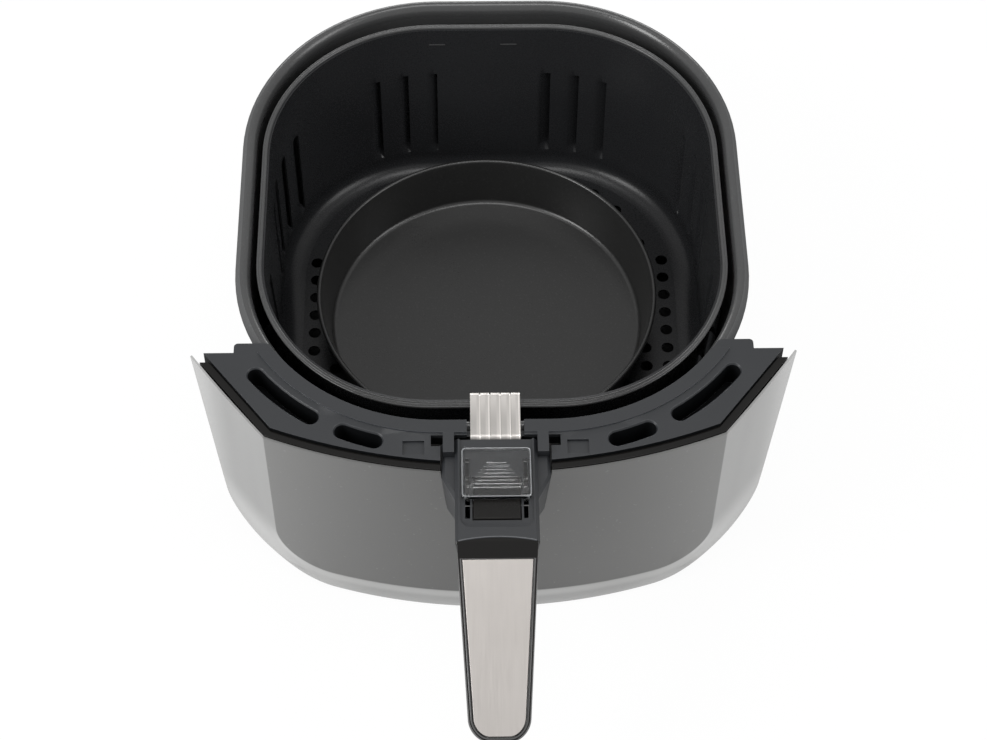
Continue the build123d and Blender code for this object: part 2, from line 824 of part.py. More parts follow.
def cover_section(y):
    """Section of the neck's cover at y."""
    with BuildSketch(Plane.XZ.offset(-y)) as section:
        with Locations((0, underside_z(y) + cover_thickness / 2)):
            Rectangle(2 * (cavity_half - fit_gap), cover_thickness)
    return section.sketch


with BuildPart() as neck_cover:
    loft([cover_section(shoulder_y), cover_section(cavity_front + fit_gap)], ruled=True)
    with Locations(*cover_screw_places):
        Cylinder(screw_radius + fit_gap / 2, 4 * cover_thickness, mode=Mode.SUBTRACT)
neck_cover.part.label = "neck_cover"
export_step(neck_cover.part, "parts/neck_cover.step")

with BuildPart() as cover_screws:
    pan_head_screw(cover_screw_places, cover_thickness + screw_bite)
cover_screws.part.label = "cover_screws"
export_step(cover_screws.part, "parts/cover_screws.step")

# Grip: sloping hollow halves, metal plate let into the upper face, screws from below
slope = radians(grip_slope)
grip_plane = Plane((0, neck_end_y, neck_top), x_dir=(1, 0, 0), z_dir=(0, -sin(slope), cos(slope)))


def grip_outline(depth, margin, start):
    """Tapered plan of the grip, depth below its upper face, drawn in by margin and starting at start."""
    with BuildSketch(grip_plane.offset(-depth)) as outline:
        taper = (grip_half_start - grip_half_end) / grip_length
        start_half = grip_half_start - taper * start - margin
        end_half = grip_half_end + taper * margin - margin
        Polygon(
            (-start_half, -start),
            (-end_half, margin - grip_length),
            (end_half, margin - grip_length),
            (start_half, -start),
            align=None,
        )
        ends = outline.vertices().group_by(Axis.Y)[0]
        fillet(ends, grip_end_round - margin)
    return outline.sketch


grip_depth = grip_upper_depth + grip_lower_depth
grip_run_in = grip_depth * tan(slope)
joint_plane = Plane((0, neck_end_y, 0), x_dir=(1, 0, 0), z_dir=(0, -1, 0))
grip_under = grip_plane.offset(-grip_depth)
grip_screw_planes = [
    Plane(grip_under.from_local_coords((0, -place, 0)), x_dir=(1, 0, 0), z_dir=grip_plane.z_dir)
    for place in grip_screw_places
]
with BuildPart() as grip_upper:
    extrude(grip_outline(0, 0, -grip_run_in), amount=-grip_upper_depth)
    split(bisect_by=joint_plane, keep=Keep.TOP)
    extrude(arch_outline(fit_gap), amount=fit_gap - arch_depth)
    extrude(grip_outline(0, trim_margin, trim_start), amount=-trim_recess, mode=Mode.SUBTRACT)
    extrude(
        grip_outline(2 * grip_shell, grip_shell, trim_start),
        amount=2 * grip_shell - grip_upper_depth,
        mode=Mode.SUBTRACT,
    )
    with Locations(*[plane.offset(grip_lower_depth) for plane in grip_screw_planes]):
        Cylinder(
            2 * screw_radius, grip_upper_depth - 2 * grip_shell, align=(Align.CENTER, Align.CENTER, Align.MIN)
        )
        Cylinder(screw_radius, screw_bite, mode=Mode.SUBTRACT)
grip_upper.part.label = "grip_upper"
export_step(grip_upper.part, "parts/grip_upper.step")

with BuildPart() as grip_lower:
    extrude(grip_outline(grip_upper_depth, 0, -grip_run_in), amount=-grip_lower_depth)
    bottom = grip_lower.faces().sort_by(Axis(grip_plane.origin, grip_plane.z_dir))[0]
    fillet(bottom.edges(), grip_lower_round)
    split(bisect_by=joint_plane, keep=Keep.TOP)
    extrude(
        grip_outline(grip_upper_depth, grip_shell, trim_start),
        amount=grip_lower_round - grip_lower_depth,
        mode=Mode.SUBTRACT,
    )
    with Locations(*[plane.offset(grip_shell) for plane in grip_screw_planes]):
        Cylinder(
            2 * screw_radius, grip_lower_depth - grip_shell, align=(Align.CENTER, Align.CENTER, Align.MIN)
        )
    with Locations(*grip_screw_planes):
        Cylinder(screw_radius + fit_gap / 2, 2 * grip_lower_depth, mode=Mode.SUBTRACT)
        Cylinder(screw_head_radius + fit_gap, 2 * (screw_head_height + fit_gap), mode=Mode.SUBTRACT)
grip_lower.part.label = "grip_lower"
export_step(grip_lower.part, "parts/grip_lower.step")

with BuildPart() as grip_trim:
    extrude(grip_outline(trim_recess, trim_margin + fit_gap, trim_start + fit_gap), amount=trim_thickness)
grip_trim.part.label = "grip_trim"
export_step(grip_trim.part, "parts/grip_trim.step")

with BuildPart() as grip_screws:
    pan_head_screw(
        [plane.offset(screw_head_height) for plane in grip_screw_planes],
        grip_lower_depth - screw_head_height + screw_bite / 2,
    )
grip_screws.part.label = "grip_screws"
export_step(grip_screws.part, "parts/grip_screws.step")

# Release button with its stem, which pushes the latch lever's front arm
arm_top = pivot_z + arm_thickness / 2
contact_y = pivot_y - contact_arm
with BuildPart() as release_button:
    box_between(
        (-button_half, button_front, roof_z - button_skirt),
        (button_half, button_rear, channel_z + button_proud),
    )
    fillet(release_button.edges().group_by(Axis.Z)[-1], button_proud)
    box_between(
        (-stem_half, button_front - button_flange, roof_z - button_skirt),
        (stem_half, button_rear + button_flange, roof_z - slide_gap),
    )
    box_between(
        (-stem_half, contact_y - stem_width / 2, arm_top + slide_gap),
        (stem_half, contact_y + stem_width / 2, roof_z - button_skirt),
    )
release_button.part.label = "release_button"
export_step(release_button.part, "parts/release_button.step")

# Latch lever on its pin: front arm under the button, rear leg with the hook below the catch ledge
hook_foot = seat_z - hook_drop
with BuildPart() as latch_lever:
    with BuildSketch(Plane.YZ) as lever:
        with Locations((pivot_y, pivot_z)):
            Circle(hub_radius)
        with Locations((pivot_y - lever_arm / 2, pivot_z)):
            Rectangle(lever_arm, arm_thickness)
        Polygon(
            (pivot_y, pivot_z + arm_thickness / 2),
            (latch_y, pivot_z + arm_thickness / 2),
            (latch_y, hook_foot),
            (latch_y - hook_leg, hook_foot),
            (latch_y - hook_leg - nose_reach, hook_foot + nose_height - nose_reach),
            (latch_y - hook_leg - nose_reach, nose_top),
            (latch_y - hook_leg, nose_top),
            (latch_y - hook_leg, pivot_z - hub_radius),
            (pivot_y, pivot_z - hub_radius),
            align=None,
        )
        with Locations((pivot_y, pivot_z)):
            Circle(pin_radius + fit_gap, mode=Mode.SUBTRACT)
    extrude(amount=lever_half, both=True)
latch_lever.part.label = "latch_lever"
export_step(latch_lever.part, "parts/latch_lever.step")

with BuildPart() as latch_pin:
    with Locations(Plane((0, pivot_y, pivot_z), z_dir=(1, 0, 0))):
        Cylinder(pin_radius, pin_length)
latch_pin.part.label = "latch_pin"
export_step(latch_pin.part, "parts/latch_pin.step")

# Leaf spring from the neck's cover to the lever's front arm
spring_foot_y = cavity_front + spring_foot_gap
spring_bend_y = pivot_y - lever_arm - spring_bend_gap


def spring_seat(y):
    """Middle of the spring's sheet where it lies on the neck's cover."""
    return (y, underside_z(y) + cover_thickness + spring_sheet / 2 + fit_gap)


with BuildPart() as latch_spring:
    with BuildSketch(Plane.YZ):
        with BuildLine() as spring_line:
            Polyline(
                spring_seat(spring_foot_y),
                spring_seat(spring_bend_y),
                (contact_y, pivot_z - arm_thickness / 2 - spring_sheet),
            )
        trace(spring_line.line, spring_sheet)
    extrude(amount=spring_half, both=True)
latch_spring.part.label = "latch_spring"
export_step(latch_spring.part, "parts/latch_spring.step")

# Clear guard that slides forward over the button, on feet that ride in the neck's slots
guard_z = channel_z + guard_lift
guard_middle = guard_rear - guard_length / 2
with BuildPart() as button_guard:
    with BuildSketch(Plane.XY.offset(guard_z)) as guard_plan:
        with Locations((0, guard_middle)):
            RectangleRounded(2 * guard_half, guard_length, guard_corner)
    extrude(amount=guard_plate + guard_rim_rise)
    with BuildSketch(Plane.XY.offset(guard_z + guard_plate)):
        with Locations((0, guard_middle)):
            RectangleRounded(
                2 * (guard_half - guard_rim), guard_length - 2 * guard_rim, guard_corner - guard_rim
            )
    extrude(amount=guard_rim_rise, mode=Mode.SUBTRACT)
    for number in range(grip_rib_count):
        rib_length = 2 * (guard_half - 2 * guard_rim) - number * 2 * grip_rib_step
        rib_y = guard_middle + (number - grip_rib_count / 2) * grip_rib_pitch
        with Locations((0, rib_y, guard_z + guard_plate)):
            Box(rib_length, grip_rib_width, 2 * grip_rib_rise)
    for side in (-1, 1):
        with Locations((side * (foot_inner + foot_thickness / 2), foot_rear, guard_z)):
            Box(
                foot_thickness,
                foot_length,
                guard_z - roof_z + 2 * foot_toe,
                align=(Align.CENTER, Align.MAX, Align.MAX),
            )
        with Locations((side * (foot_inner + foot_thickness), foot_rear, roof_z - slide_gap)):
            Box(
                2 * foot_toe,
                foot_length,
                2 * foot_toe - slide_gap,
                align=(Align.CENTER, Align.MAX, Align.MAX),
            )
button_guard.part.label = "button_guard"
export_step(button_guard.part, "parts/button_guard.step")

# Round baking tin with a tapered wall, rounded inner edge and rolled rim
tin_top = floor_z + tin_height
tin_plane = Plane((tin_shift_x, tin_shift_y, 0), x_dir=(1, 0, 0), z_dir=(0, -1, 0))
wall_radius = tin_radius - tin_bead
base_radius = wall_radius - tin_taper
with BuildPart() as baking_tin:
    with BuildSketch(tin_plane) as tin_profile:
        with BuildLine():
            Polyline(
                (0, floor_z),
                (base_radius, floor_z),
                (wall_radius, tin_top - tin_bead),
                (tin_radius, tin_top - tin_bead),
                (tin_radius, tin_top),
                (wall_radius - tin_wall, tin_top),
                (base_radius - tin_wall, floor_z + tin_wall),
                (0, floor_z + tin_wall),
                close=True,
            )
        make_face()
        edge = tin_profile.vertices().sort_by_distance(
            tin_plane.from_local_coords((base_radius - tin_wall, floor_z + tin_wall))
        )
        fillet(edge[:1], tin_edge_radius)
    revolve(axis=Axis((tin_shift_x, tin_shift_y, 0), (0, 0, 1)))
baking_tin.part.label = "baking_tin"
export_step(baking_tin.part, "parts/baking_tin.step")
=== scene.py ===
import json
from math import atan2, cos, degrees, hypot, pi, radians, sin, sqrt, tan

import bmesh
import bpy
from bpy.props import FloatProperty, FloatVectorProperty, IntProperty, PointerProperty
from mathutils import Matrix, Vector


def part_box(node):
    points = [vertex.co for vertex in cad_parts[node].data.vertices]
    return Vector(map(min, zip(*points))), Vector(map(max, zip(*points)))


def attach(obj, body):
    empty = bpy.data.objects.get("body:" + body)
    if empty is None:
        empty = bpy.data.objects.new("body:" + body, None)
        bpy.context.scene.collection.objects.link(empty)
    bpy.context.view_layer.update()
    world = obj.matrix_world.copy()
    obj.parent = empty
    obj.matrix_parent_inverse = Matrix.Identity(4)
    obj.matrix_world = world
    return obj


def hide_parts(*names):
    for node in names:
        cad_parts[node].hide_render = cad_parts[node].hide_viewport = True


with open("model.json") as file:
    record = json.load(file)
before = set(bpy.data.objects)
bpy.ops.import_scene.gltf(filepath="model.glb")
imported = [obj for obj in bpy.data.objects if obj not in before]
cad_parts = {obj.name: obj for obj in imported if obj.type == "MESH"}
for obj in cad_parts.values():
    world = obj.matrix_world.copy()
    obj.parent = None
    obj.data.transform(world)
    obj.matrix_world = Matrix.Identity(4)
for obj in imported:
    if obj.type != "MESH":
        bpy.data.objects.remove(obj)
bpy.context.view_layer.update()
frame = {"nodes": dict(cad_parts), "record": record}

bl_info = {
    "name": "Air Fryer Drawer",
    "version": (1, 0, 0),
    "blender": (4, 5, 0),
    "location": "View3D > Sidebar > Drawer",
    "description": "Dresses an air fryer's drawer, basket, baking tin and handle for a studio picture",
    "category": "Object",
}

PAN_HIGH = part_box("outer_pan")[1]
BASKET_LOW, BASKET_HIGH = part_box("basket_shell")
FLOOR_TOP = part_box("basket_floor")[1].z
TIN_LOW, TIN_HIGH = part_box("baking_tin")
PANEL_LOW, PANEL_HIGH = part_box("front_panel")
GUARD_LOW, GUARD_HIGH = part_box("button_guard")
GRIP_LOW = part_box("grip_upper")[0]
GRIP_WAY = Vector((0, -0.9, -0.44))  # the way the grip runs, out and down
BRACKET_SHADE_LINES = (-0.0073, -0.0030, 0.0022, 0.0070, 0.0112)  # painted shadow and glint lines along the bracket's flutes, by x
SHADE_AND_GLINT = ((-0.0009, 0.0011, 0.80), (0.0, 0.0004, 1.30))  # painted shadow and glint of one flute line: shift, reach, tone
MARK_PLACES = (-0.0275, 0.0110)  # fill marks on the basket's back wall, by x


def length(name, description, default):
    """A size in metres."""
    return FloatProperty(name=name, description=description, default=default, unit="LENGTH",
                         precision=4)


def colour(name, description, default):
    """A linear colour."""
    return FloatVectorProperty(name=name, description=description, default=default, subtype="COLOR",
                               size=3, min=0.0, max=1.0)


def position(name, description, default):
    """A place in metres."""
    return FloatVectorProperty(name=name, description=description, default=default,
                               subtype="TRANSLATION", size=3)


def wattage(name, description, default):
    """The power of a lamp."""
    return FloatProperty(name=name, description=description, default=default, subtype="POWER")


def share(name, description, default):
    """A plain number."""
    return FloatProperty(name=name, description=description, default=default)


def whole(name, description, default):
    """A whole number."""
    return IntProperty(name=name, description=description, default=default, min=0)


class DrawerPan(bpy.types.PropertyGroup):
    corner: length("Corner", "Corner radius of the rim in plan", 0.0995)
    wall: length("Wall", "Thickness of the pressed sheet", 0.0012)
    draft: length("Draft", "How far the wall leans in from rim to floor", 0.005)
    edge: length("Edge", "Radius between wall and floor", 0.014)
    bead: length("Bead", "Width of the rolled rim", 0.0075)
    bead_height: length("Bead height", "Height of the rolled rim", 0.0065)
    back_swell: length("Back swell", "How far the rolled rim bulges at the back", 0.0016)
    coat: colour("Coat", "Non-stick coat of the pan", (0.050, 0.0505, 0.051))


class DrawerBasket(bpy.types.PropertyGroup):
    corner: length("Corner", "Corner radius of the rim in plan", 0.0873)
    wall: length("Wall", "Thickness of the pressed sheet", 0.001)
    flange: length("Flange", "Reach of the rim flange", 0.003)
    side_draft: length("Side draft", "Lean of the side walls", 0.0015)
    end_draft: length("End draft", "Lean of the end walls", 0.013)
    edge: length("Edge", "Radius between end wall and floor", 0.0095)
    side_edge: length("Side edge", "Reach of the bend between side wall and floor", 0.0125)
    rim_reach: length("Rim reach", "How far the rim's outer bead stands out", 0.0006)
    rim_front: length("Rim front", "Extra reach of the rim at the front", 0.0012)
    hole: length("Hole", "Diameter of the floor holes", 0.0065)
    pitch: length("Pitch", "Spacing of the floor holes", 0.0118)
    full_column: whole("Full column", "First column with every hole", 7)
    side_rows: whole("Side rows", "Rows each way of the full columns", 4)
    open_field: share("Open field", "Middle field with fewer holes, in pitches", 6.0)
    field_power: share("Field power", "Squareness of the field of holes", 2.4)
    field_margin: length("Field margin", "How far the holes pass the floor's sides and miss its ends", 0.0015)
    louvre_width: length("Louvre width", "Width of a louvre", 0.0065)
    louvre_length: length("Louvre length", "Height of a louvre", 0.055)
    louvre_depth: length("Louvre depth", "How far a louvre is pressed out", 0.0042)
    louvre_pitch: length("Louvre pitch", "Spacing of the louvres", 0.0158)
    louvre_rise: length("Louvre rise", "Height of the louvres above the wall's foot", 0.0015)
    end_start: length("End start", "First louvre of the end walls", 0.031)
    side_start: length("Side start", "First louvre of the side walls", 0.0205)
    mark_rise: length("Mark rise", "Height of the fill marks", 0.1135)
    mark_length: length("Mark length", "Length of a fill mark", 0.009)
    mark_width: length("Mark width", "Width of a fill mark", 0.0008)
    coat: colour("Coat", "Non-stick coat of the basket", (0.018, 0.0185, 0.0198))


class DrawerTin(bpy.types.PropertyGroup):
    taper: length("Taper", "Difference between rim and floor radius", 0.0041)
    grow: length("Grow", "Extra radius of the rim", 0.0007)
    slide: position("Slide", "How far the loose tin has slid on the floor", (-0.0007, 0.0020, 0.0))
    wall: length("Wall", "Thickness of the sheet", 0.0008)
    edge: length("Edge", "Radius between wall and floor", 0.0036)
    bead: length("Bead", "Size of the rolled rim", 0.0024)
    coat: colour("Coat", "Coat of the tin", (0.016, 0.016, 0.0158))


class DrawerFront(bpy.types.PropertyGroup):
    face_half: length("Face half", "Half width of the face between its creases", 0.109)
    face_setback: length("Face setback", "Depth of the face's arch", 0.0213)
    face_foot: length("Face foot", "Height of the face's lower crease", 0.015)
    face_corner: length("Face corner", "Radius of the crease's lower corners", 0.028)
    tip_half: length("Tip half", "Half width at the wing tips", 0.146)
    foot_inset: length("Foot inset", "Lean of the wings' edges", 0.011)
    foot_rise: length("Foot rise", "Bow of the lower edge", 0.0075)
    wing_corner: length("Wing corner", "Radius of the wings' lower corners", 0.022)
    wall: length("Wall", "Thickness of the shell", 0.0010)
    lip_crown: length("Lip crown", "How far the lip swells below the crease", 0.0014)
    notch_half: length("Notch half", "Half width of the handle's notch at its foot", 0.0235)
    notch_flare: length("Notch flare", "Widening of the notch towards its top", 0.0024)
    notch_foot: length("Notch foot", "Height of the notch's foot", 0.098)
    backing_fold: length("Backing fold", "Height below which the backing draws in", 0.062)
    backing_draw: share("Backing draw", "How far the backing's corners draw in, per height", 0.28)
    backing_lean: share("Backing lean", "How far the backing leans back, per height", 0.04)
    # two-tone paint of face and border; part of their difference is painted shade on the face and painted
    # light on the border
    face_paint: colour("Face", "Paint of the face", (0.094, 0.0942, 0.0924))
    border_paint: colour("Border", "Paint of wings and lip", (0.288, 0.288, 0.285))


class DrawerGuard(bpy.types.PropertyGroup):
    corner: length("Corner", "Corner radius of the guard's plate", 0.002)
    # the bead and the milky tone of the clear edges are a painted highlight on the guard's edges
    bead: length("Bead", "Width of the bright bead round the plate", 0.0006)
    ledge: length("Ledge", "Height of the front ledge", 0.0022)
    edge: colour("Edge", "Milky tone of the clear edges", (0.70, 0.72, 0.74))


class DrawerGrip(bpy.types.PropertyGroup):
    tip: length("Tip", "Length of the grip's rounded end", 0.018)
    tip_half: length("Tip half", "Half width of the grip's end", 0.013)
    tip_bulge: length("Tip bulge", "How far the middle of the end stands out", 0.0018)
    border: length("Border", "Width of the rounded border round the plate", 0.0027)
    border_drop: length("Border drop", "Depth of the border's outer side", 0.004)
    joint_place: position("Joint place", "Middle of the joint line", (0.0, -0.1996, 0.1305))
    joint_half: length("Joint half", "Half width of the joint line at the neck's end", 0.0177)
    joint_arch: length("Joint arch", "Bow of the joint line", 0.0020)
    joint: length("Joint", "Width of the joint line", 0.0007)


class DrawerFinish(bpy.types.PropertyGroup):
    plastic: colour("Plastic", "Satin moulded plastic", (0.017, 0.0185, 0.021))
    gloss: colour("Gloss", "Glossy black plastic", (0.006, 0.0056, 0.0052))
    button: colour("Button", "Release button", (0.007, 0.0065, 0.006))
    steel: colour("Steel", "Bright bracket steel", (0.68, 0.652, 0.624))
    zinc: colour("Zinc", "Screws, rivets and pin", (0.50, 0.50, 0.49))
    trim: colour("Trim", "Brushed plate of the grip", (0.605, 0.572, 0.545))
    # painted highlight for the edges of the glossy plastic
    edge: colour("Edge", "Bright edge of the glossy plastic", (0.075, 0.0745, 0.074))
    soft_edge: length("Soft edge", "Rounding of moulded edges", 0.0004)
    # the deck's step faces above this height take the lighter edge finish, a painted highlight
    step_highlight_rise: length("Step rise", "Height over the pan from which the deck's steps shine", 0.0026)
    # the vents below this depth under the pan's rim are painted in shade
    vent_shade_drop: length("Vent drop", "Depth under the pan's rim from which the vents are dark", 0.0005)


class DrawerStage(bpy.types.PropertyGroup):
    eye: position("Eye", "Camera position", (-0.0142, -0.7231, 1.0171))
    aim: position("Aim", "Point that the camera looks at", (-0.0004, -0.1045, 0.126))
    roll: FloatProperty(name="Roll", description="Turn of the camera about its own axis",
                        default=radians(0.51), subtype="ANGLE")
    lens: FloatProperty(name="Lens", description="Focal length on a 36 mm frame", default=82.65,
                        unit="CAMERA")
    ambient: share("Ambient", "Strength of the surrounding light", 0.60)
    top_power: wattage("Top light", "Power of the overhead softbox", 4.5)
    left_power: wattage("Left light", "Power of the left softbox", 11.0)
    right_power: wattage("Right light", "Power of the right softbox", 4.5)
    back_power: wattage("Back light", "Power of the low softbox behind", 6.0)
    floor_shown: share("Floor shown", "How white the floor looks to the camera", 0.95)
    floor_mirrored: share("Floor mirrored", "How white the floor looks in gloss and clear plastic", 0.65)
    floor_tone: colour("Floor", "Floor and surroundings", (0.9, 0.9, 0.9))


class Value:
    """A shader socket whose arithmetic adds Math nodes."""

    def __init__(self, nodes, socket):
        self.nodes = nodes
        self.socket = socket

    def math(self, operation, *terms):
        return self.nodes.node("ShaderNodeMath", {"operation": operation}, dict(enumerate(terms)))

    def __add__(self, other):
        return self.math("ADD", self, other)

    def __radd__(self, other):
        return self.math("ADD", other, self)

    def __sub__(self, other):
        return self.math("SUBTRACT", self, other)

    def __rsub__(self, other):
        return self.math("SUBTRACT", other, self)

    def __mul__(self, other):
        return self.math("MULTIPLY", self, other)

    def __rmul__(self, other):
        return self.math("MULTIPLY", other, self)

    def __abs__(self):
        return self.math("ABSOLUTE", self)

    def above(self, limit):
        return self.math("MAXIMUM", self, limit)

    def root(self):
        return self.math("SQRT", self)


class Nodes:
    """A node tree that is filled by expressions."""

    def __init__(self, tree):
        self.tree = tree

    def node(self, kind, settings=None, sockets=None, output=0):
        """Add a node, set it up, fill or link its sockets and return one of its outputs."""
        made = self.tree.nodes.new(kind)
        for key, value in (settings or {}).items():
            setattr(made, key, value)
        for key, value in (sockets or {}).items():
            self.put(made.inputs[key], value)
        return Value(self, made.outputs[output])

    def put(self, socket, value):
        """Link a value to a socket or set the socket."""
        if isinstance(value, Value):
            self.tree.links.new(value.socket, socket)
        else:
            socket.default_value = value

    def ray(self, kind):
        """1 for light that is followed for one purpose, such as Camera or Glossy."""
        return self.node("ShaderNodeLightPath", output=f"Is {kind} Ray")


class Paint(Nodes):
    """A material built from nodes, with one Principled shader."""

    def __init__(self, name, **fixed):
        self.material = bpy.data.materials.new("finish " + name)
        self.material.use_nodes = True
        super().__init__(self.material.node_tree)
        self.shader = self.tree.nodes["Principled BSDF"]
        self.feed(**fixed)

    def feed(self, **sockets):
        """Feed the shader's own sockets."""
        for key, value in sockets.items():
            self.put(self.shader.inputs[key.replace("_", " ")], value)
        return self.material

    def place(self):
        """Position on the piece, in metres."""
        return self.node("ShaderNodeTexCoord", output="Object")

    def axis(self, name):
        """One coordinate on the piece, in metres."""
        return self.node("ShaderNodeSeparateXYZ", {}, {0: self.place()}, output=name)

    def grain(self, scale, detail=2.0, stretch=(1.0, 1.0, 1.0), shift=0.0):
        """Noise from 0 to 1 with so many lumps a metre."""
        spot = self.node("ShaderNodeMapping", {}, {"Vector": self.place(), "Scale": stretch,
                                                   "Location": (shift, shift, shift)})
        return self.node("ShaderNodeTexNoise", {}, {"Vector": spot, "Scale": scale, "Detail": detail})

    def blend(self, first, second, amount):
        """Colour between two sockets or colours."""
        first, second = (tone if isinstance(tone, Value) else (*tone, 1.0) for tone in (first, second))
        return self.node("ShaderNodeMix", {"data_type": "RGBA"}, {"Factor": amount, 6: first, 7: second},
                         output=2)

    def around(self, tone, low, high, amount):
        """Colour between a darker and a lighter tone of one colour."""
        return self.blend(toned(tone, low), toned(tone, high), amount)

    def step(self, value, low, high):
        """Smooth rise from 0 to 1 as value goes from low to high."""
        return self.node("ShaderNodeMapRange", {"interpolation_type": "SMOOTHSTEP"},
                         {"Value": value, "From Min": low, "From Max": high})

    def relief(self, height, strength, distance):
        """Bumped normal."""
        return self.node("ShaderNodeBump", {},
                         {"Height": height, "Strength": strength, "Distance": distance})


def toned(tone, factor):
    """A colour made lighter or darker."""
    return tuple(min(1.0, part * factor) for part in tone)


def coated(name, tone, rough, speck, lumps=1400.0, gloss=0.5, painted_shade_y=()):
    """Sprayed non-stick coat: pale specks, soft mottle and orange peel, with painted shade in front of the
    two y given.
    """
    paint = Paint(name, Specular_IOR_Level=gloss)
    fine = paint.grain(lumps, 3.0)
    mottle = paint.grain(22.0, 2.0, shift=3.1)
    dots = paint.step(paint.grain(lumps * 0.6, 1.0, shift=7.7), 0.60, 0.72)
    base = paint.around(tone, 0.80, 1.20, 0.45 * mottle + 0.55 * fine)
    base = paint.blend(base, toned(tone, speck), dots * 0.3)
    # painted shade: darker in front of the two y given
    if painted_shade_y:
        base = paint.blend(toned(tone, 0.3), base, paint.step(paint.axis("Y"), *painted_shade_y))
    return paint.feed(Base_Color=base, Roughness=rough - 0.06 + 0.08 * fine + 0.05 * mottle,
                      Normal=paint.relief(fine, 0.16, 0.0003))


def moulded(name, tone, rough, gloss=0.5, gloss_coat=0.0):
    """Spark-eroded plastic: very fine grain with slight wear sheen."""
    paint = Paint(name, Specular_IOR_Level=gloss, Coat_Weight=gloss_coat, Coat_Roughness=0.08)
    fine = paint.grain(2600.0, 2.0)
    cloud = paint.grain(30.0, 3.0, shift=1.7)
    base = paint.around(tone, 0.88, 1.12, 0.6 * cloud + 0.4 * fine)
    return paint.feed(Base_Color=base, Roughness=rough - 0.05 + 0.07 * cloud + 0.05 * fine,
                      Normal=paint.relief(fine, 0.12 if rough > 0.3 else 0.02, 0.0002))


def metal(name, tone, rough, stretch, lumps, depth, painted_lines_x=(), painted_shade_y=()):
    """Drawn or brushed metal: stretched streaks, a painted shadow and glint along each x, painted shade in
    front of the two y given.
    """
    paint = Paint(name, Metallic=1.0)
    streak = paint.grain(lumps, 3.0, stretch=stretch)
    cloud = paint.grain(45.0, 3.0, shift=2.3)
    base = paint.around(tone, 0.93, 1.05, 0.7 * streak + 0.3 * cloud)
    # painted shade: darker in front of the two y given
    if painted_shade_y:
        base = paint.blend(toned(tone, 0.62), base, paint.step(paint.axis("Y"), *painted_shade_y))
    # painted shadow and glint along each flute line
    for x, (shift, reach, shade) in ((x, line) for x in painted_lines_x for line in SHADE_AND_GLINT):
        beside = paint.step(abs(paint.axis("X") - (x + shift)), 0.2 * reach, reach)
        base = paint.blend(base, toned(tone, shade), 0.8 - 0.8 * beside)
    return paint.feed(Base_Color=base, Roughness=rough - 0.05 + 0.12 * streak + 0.06 * cloud,
                      Normal=paint.relief(streak, depth, 0.0002))


def front_paint(front):
    """Silver paint with fine flake: a darker satin face inside its crease and lighter wings and lip, partly
    two-tone paint and partly painted light and shade, with more painted light and a painted highlight laid on
    the border.
    """
    paint = Paint("panel_silver", Metallic=0.55, Specular_IOR_Level=0.5, Coat_Weight=0.25,
                  Coat_Roughness=0.25)
    height = paint.axis("Z")
    aside = abs(paint.axis("X"))
    over_x = (aside - (front.face_half - front.face_corner)).above(0.0)
    over_z = ((front.face_foot + front.face_corner) - height).above(0.0)
    reach = (over_x * over_x + over_z * over_z).root()

    def outside(low, high):
        """Rise from 0 to 1 between two distances outside the crease."""
        return paint.step(reach, front.face_corner + low, front.face_corner + high)

    def below(low, high):
        """Fall from 1 to 0 between two heights."""
        return 1.0 - paint.step(height, low, high)

    flake = paint.grain(3800.0, 1.0)
    mottle = paint.grain(800.0, 2.0, shift=2.0)
    cloud = paint.grain(14.0, 2.0, shift=5.0)
    bands = paint.grain(45.0, 1.0, stretch=(1.0, 1.0, 0.12), shift=4.2)
    shade = 0.3 * flake + 0.35 * mottle + 0.35 * cloud
    middle = paint.around(front.face_paint, 0.86, 1.14, shade)
    # painted light: the face grows lighter towards its creases
    lit_flank = paint.around(front.face_paint, 1.64, 2.16, shade)
    face = paint.blend(middle, lit_flank, aside * aside * (1.0 / front.face_half ** 2))
    edge = paint.around(front.border_paint, 0.84, 1.16, 0.3 * shade + 0.7 * bands)
    # painted light: the lip lighter low down
    lip = below(0.014, 0.030)
    # painted sheen: the border lighter at its lower corners
    corner = paint.step(aside, 0.055, 0.100) * below(0.020, 0.050)
    # painted highlight: a bright line just outside the crease, low down
    fold = abs(reach - (front.face_corner + 0.0022))
    glint = (1.0 - paint.step(fold, 0.0004, 0.0032)) * below(0.022, 0.045)
    # painted light: the wings lighter towards their outer edges
    lit_wing_edge = outside(0.019, 0.035)
    # lays the painted light and the painted highlight above on the border's tone
    for lift, amount in ((1.2, lip), (1.6, corner), (1.9, 0.35 * glint), (1.5, lit_wing_edge)):
        edge = paint.blend(edge, toned(front.border_paint, lift), amount)
    # the darker face inside the crease against the lighter border: two-tone paint, partly painted light and
    # shade
    base = paint.blend(face, edge, outside(-0.0006, 0.0006))
    dust = paint.step(paint.grain(620.0, 0.0, shift=9.1), 0.79, 0.83)
    marks = paint.step(paint.grain(120.0, 1.0, stretch=(1.6, 1.0, 0.25), shift=6.3), 0.74, 0.80)
    base = paint.blend(base, toned(front.border_paint, 1.2), 0.16 * dust + 0.05 * marks)
    return paint.feed(Base_Color=base, Roughness=0.33 + 0.05 * flake + 0.06 * mottle,
                      Normal=paint.relief(flake + mottle, 0.05, 0.0001))


def clear(name, low, high, through):
    """Clear injection-moulded plastic with faint haze."""
    paint = Paint(name, Transmission_Weight=through, IOR=1.49, Specular_IOR_Level=0.5)
    haze = paint.grain(60.0, 2.0)
    return paint.feed(Base_Color=paint.blend(low, high, haze), Roughness=0.03 + 0.05 * haze)


def finish(slot):
    """The finish that the first step mixed for a material slot."""
    return bpy.data.materials["finish " + slot]


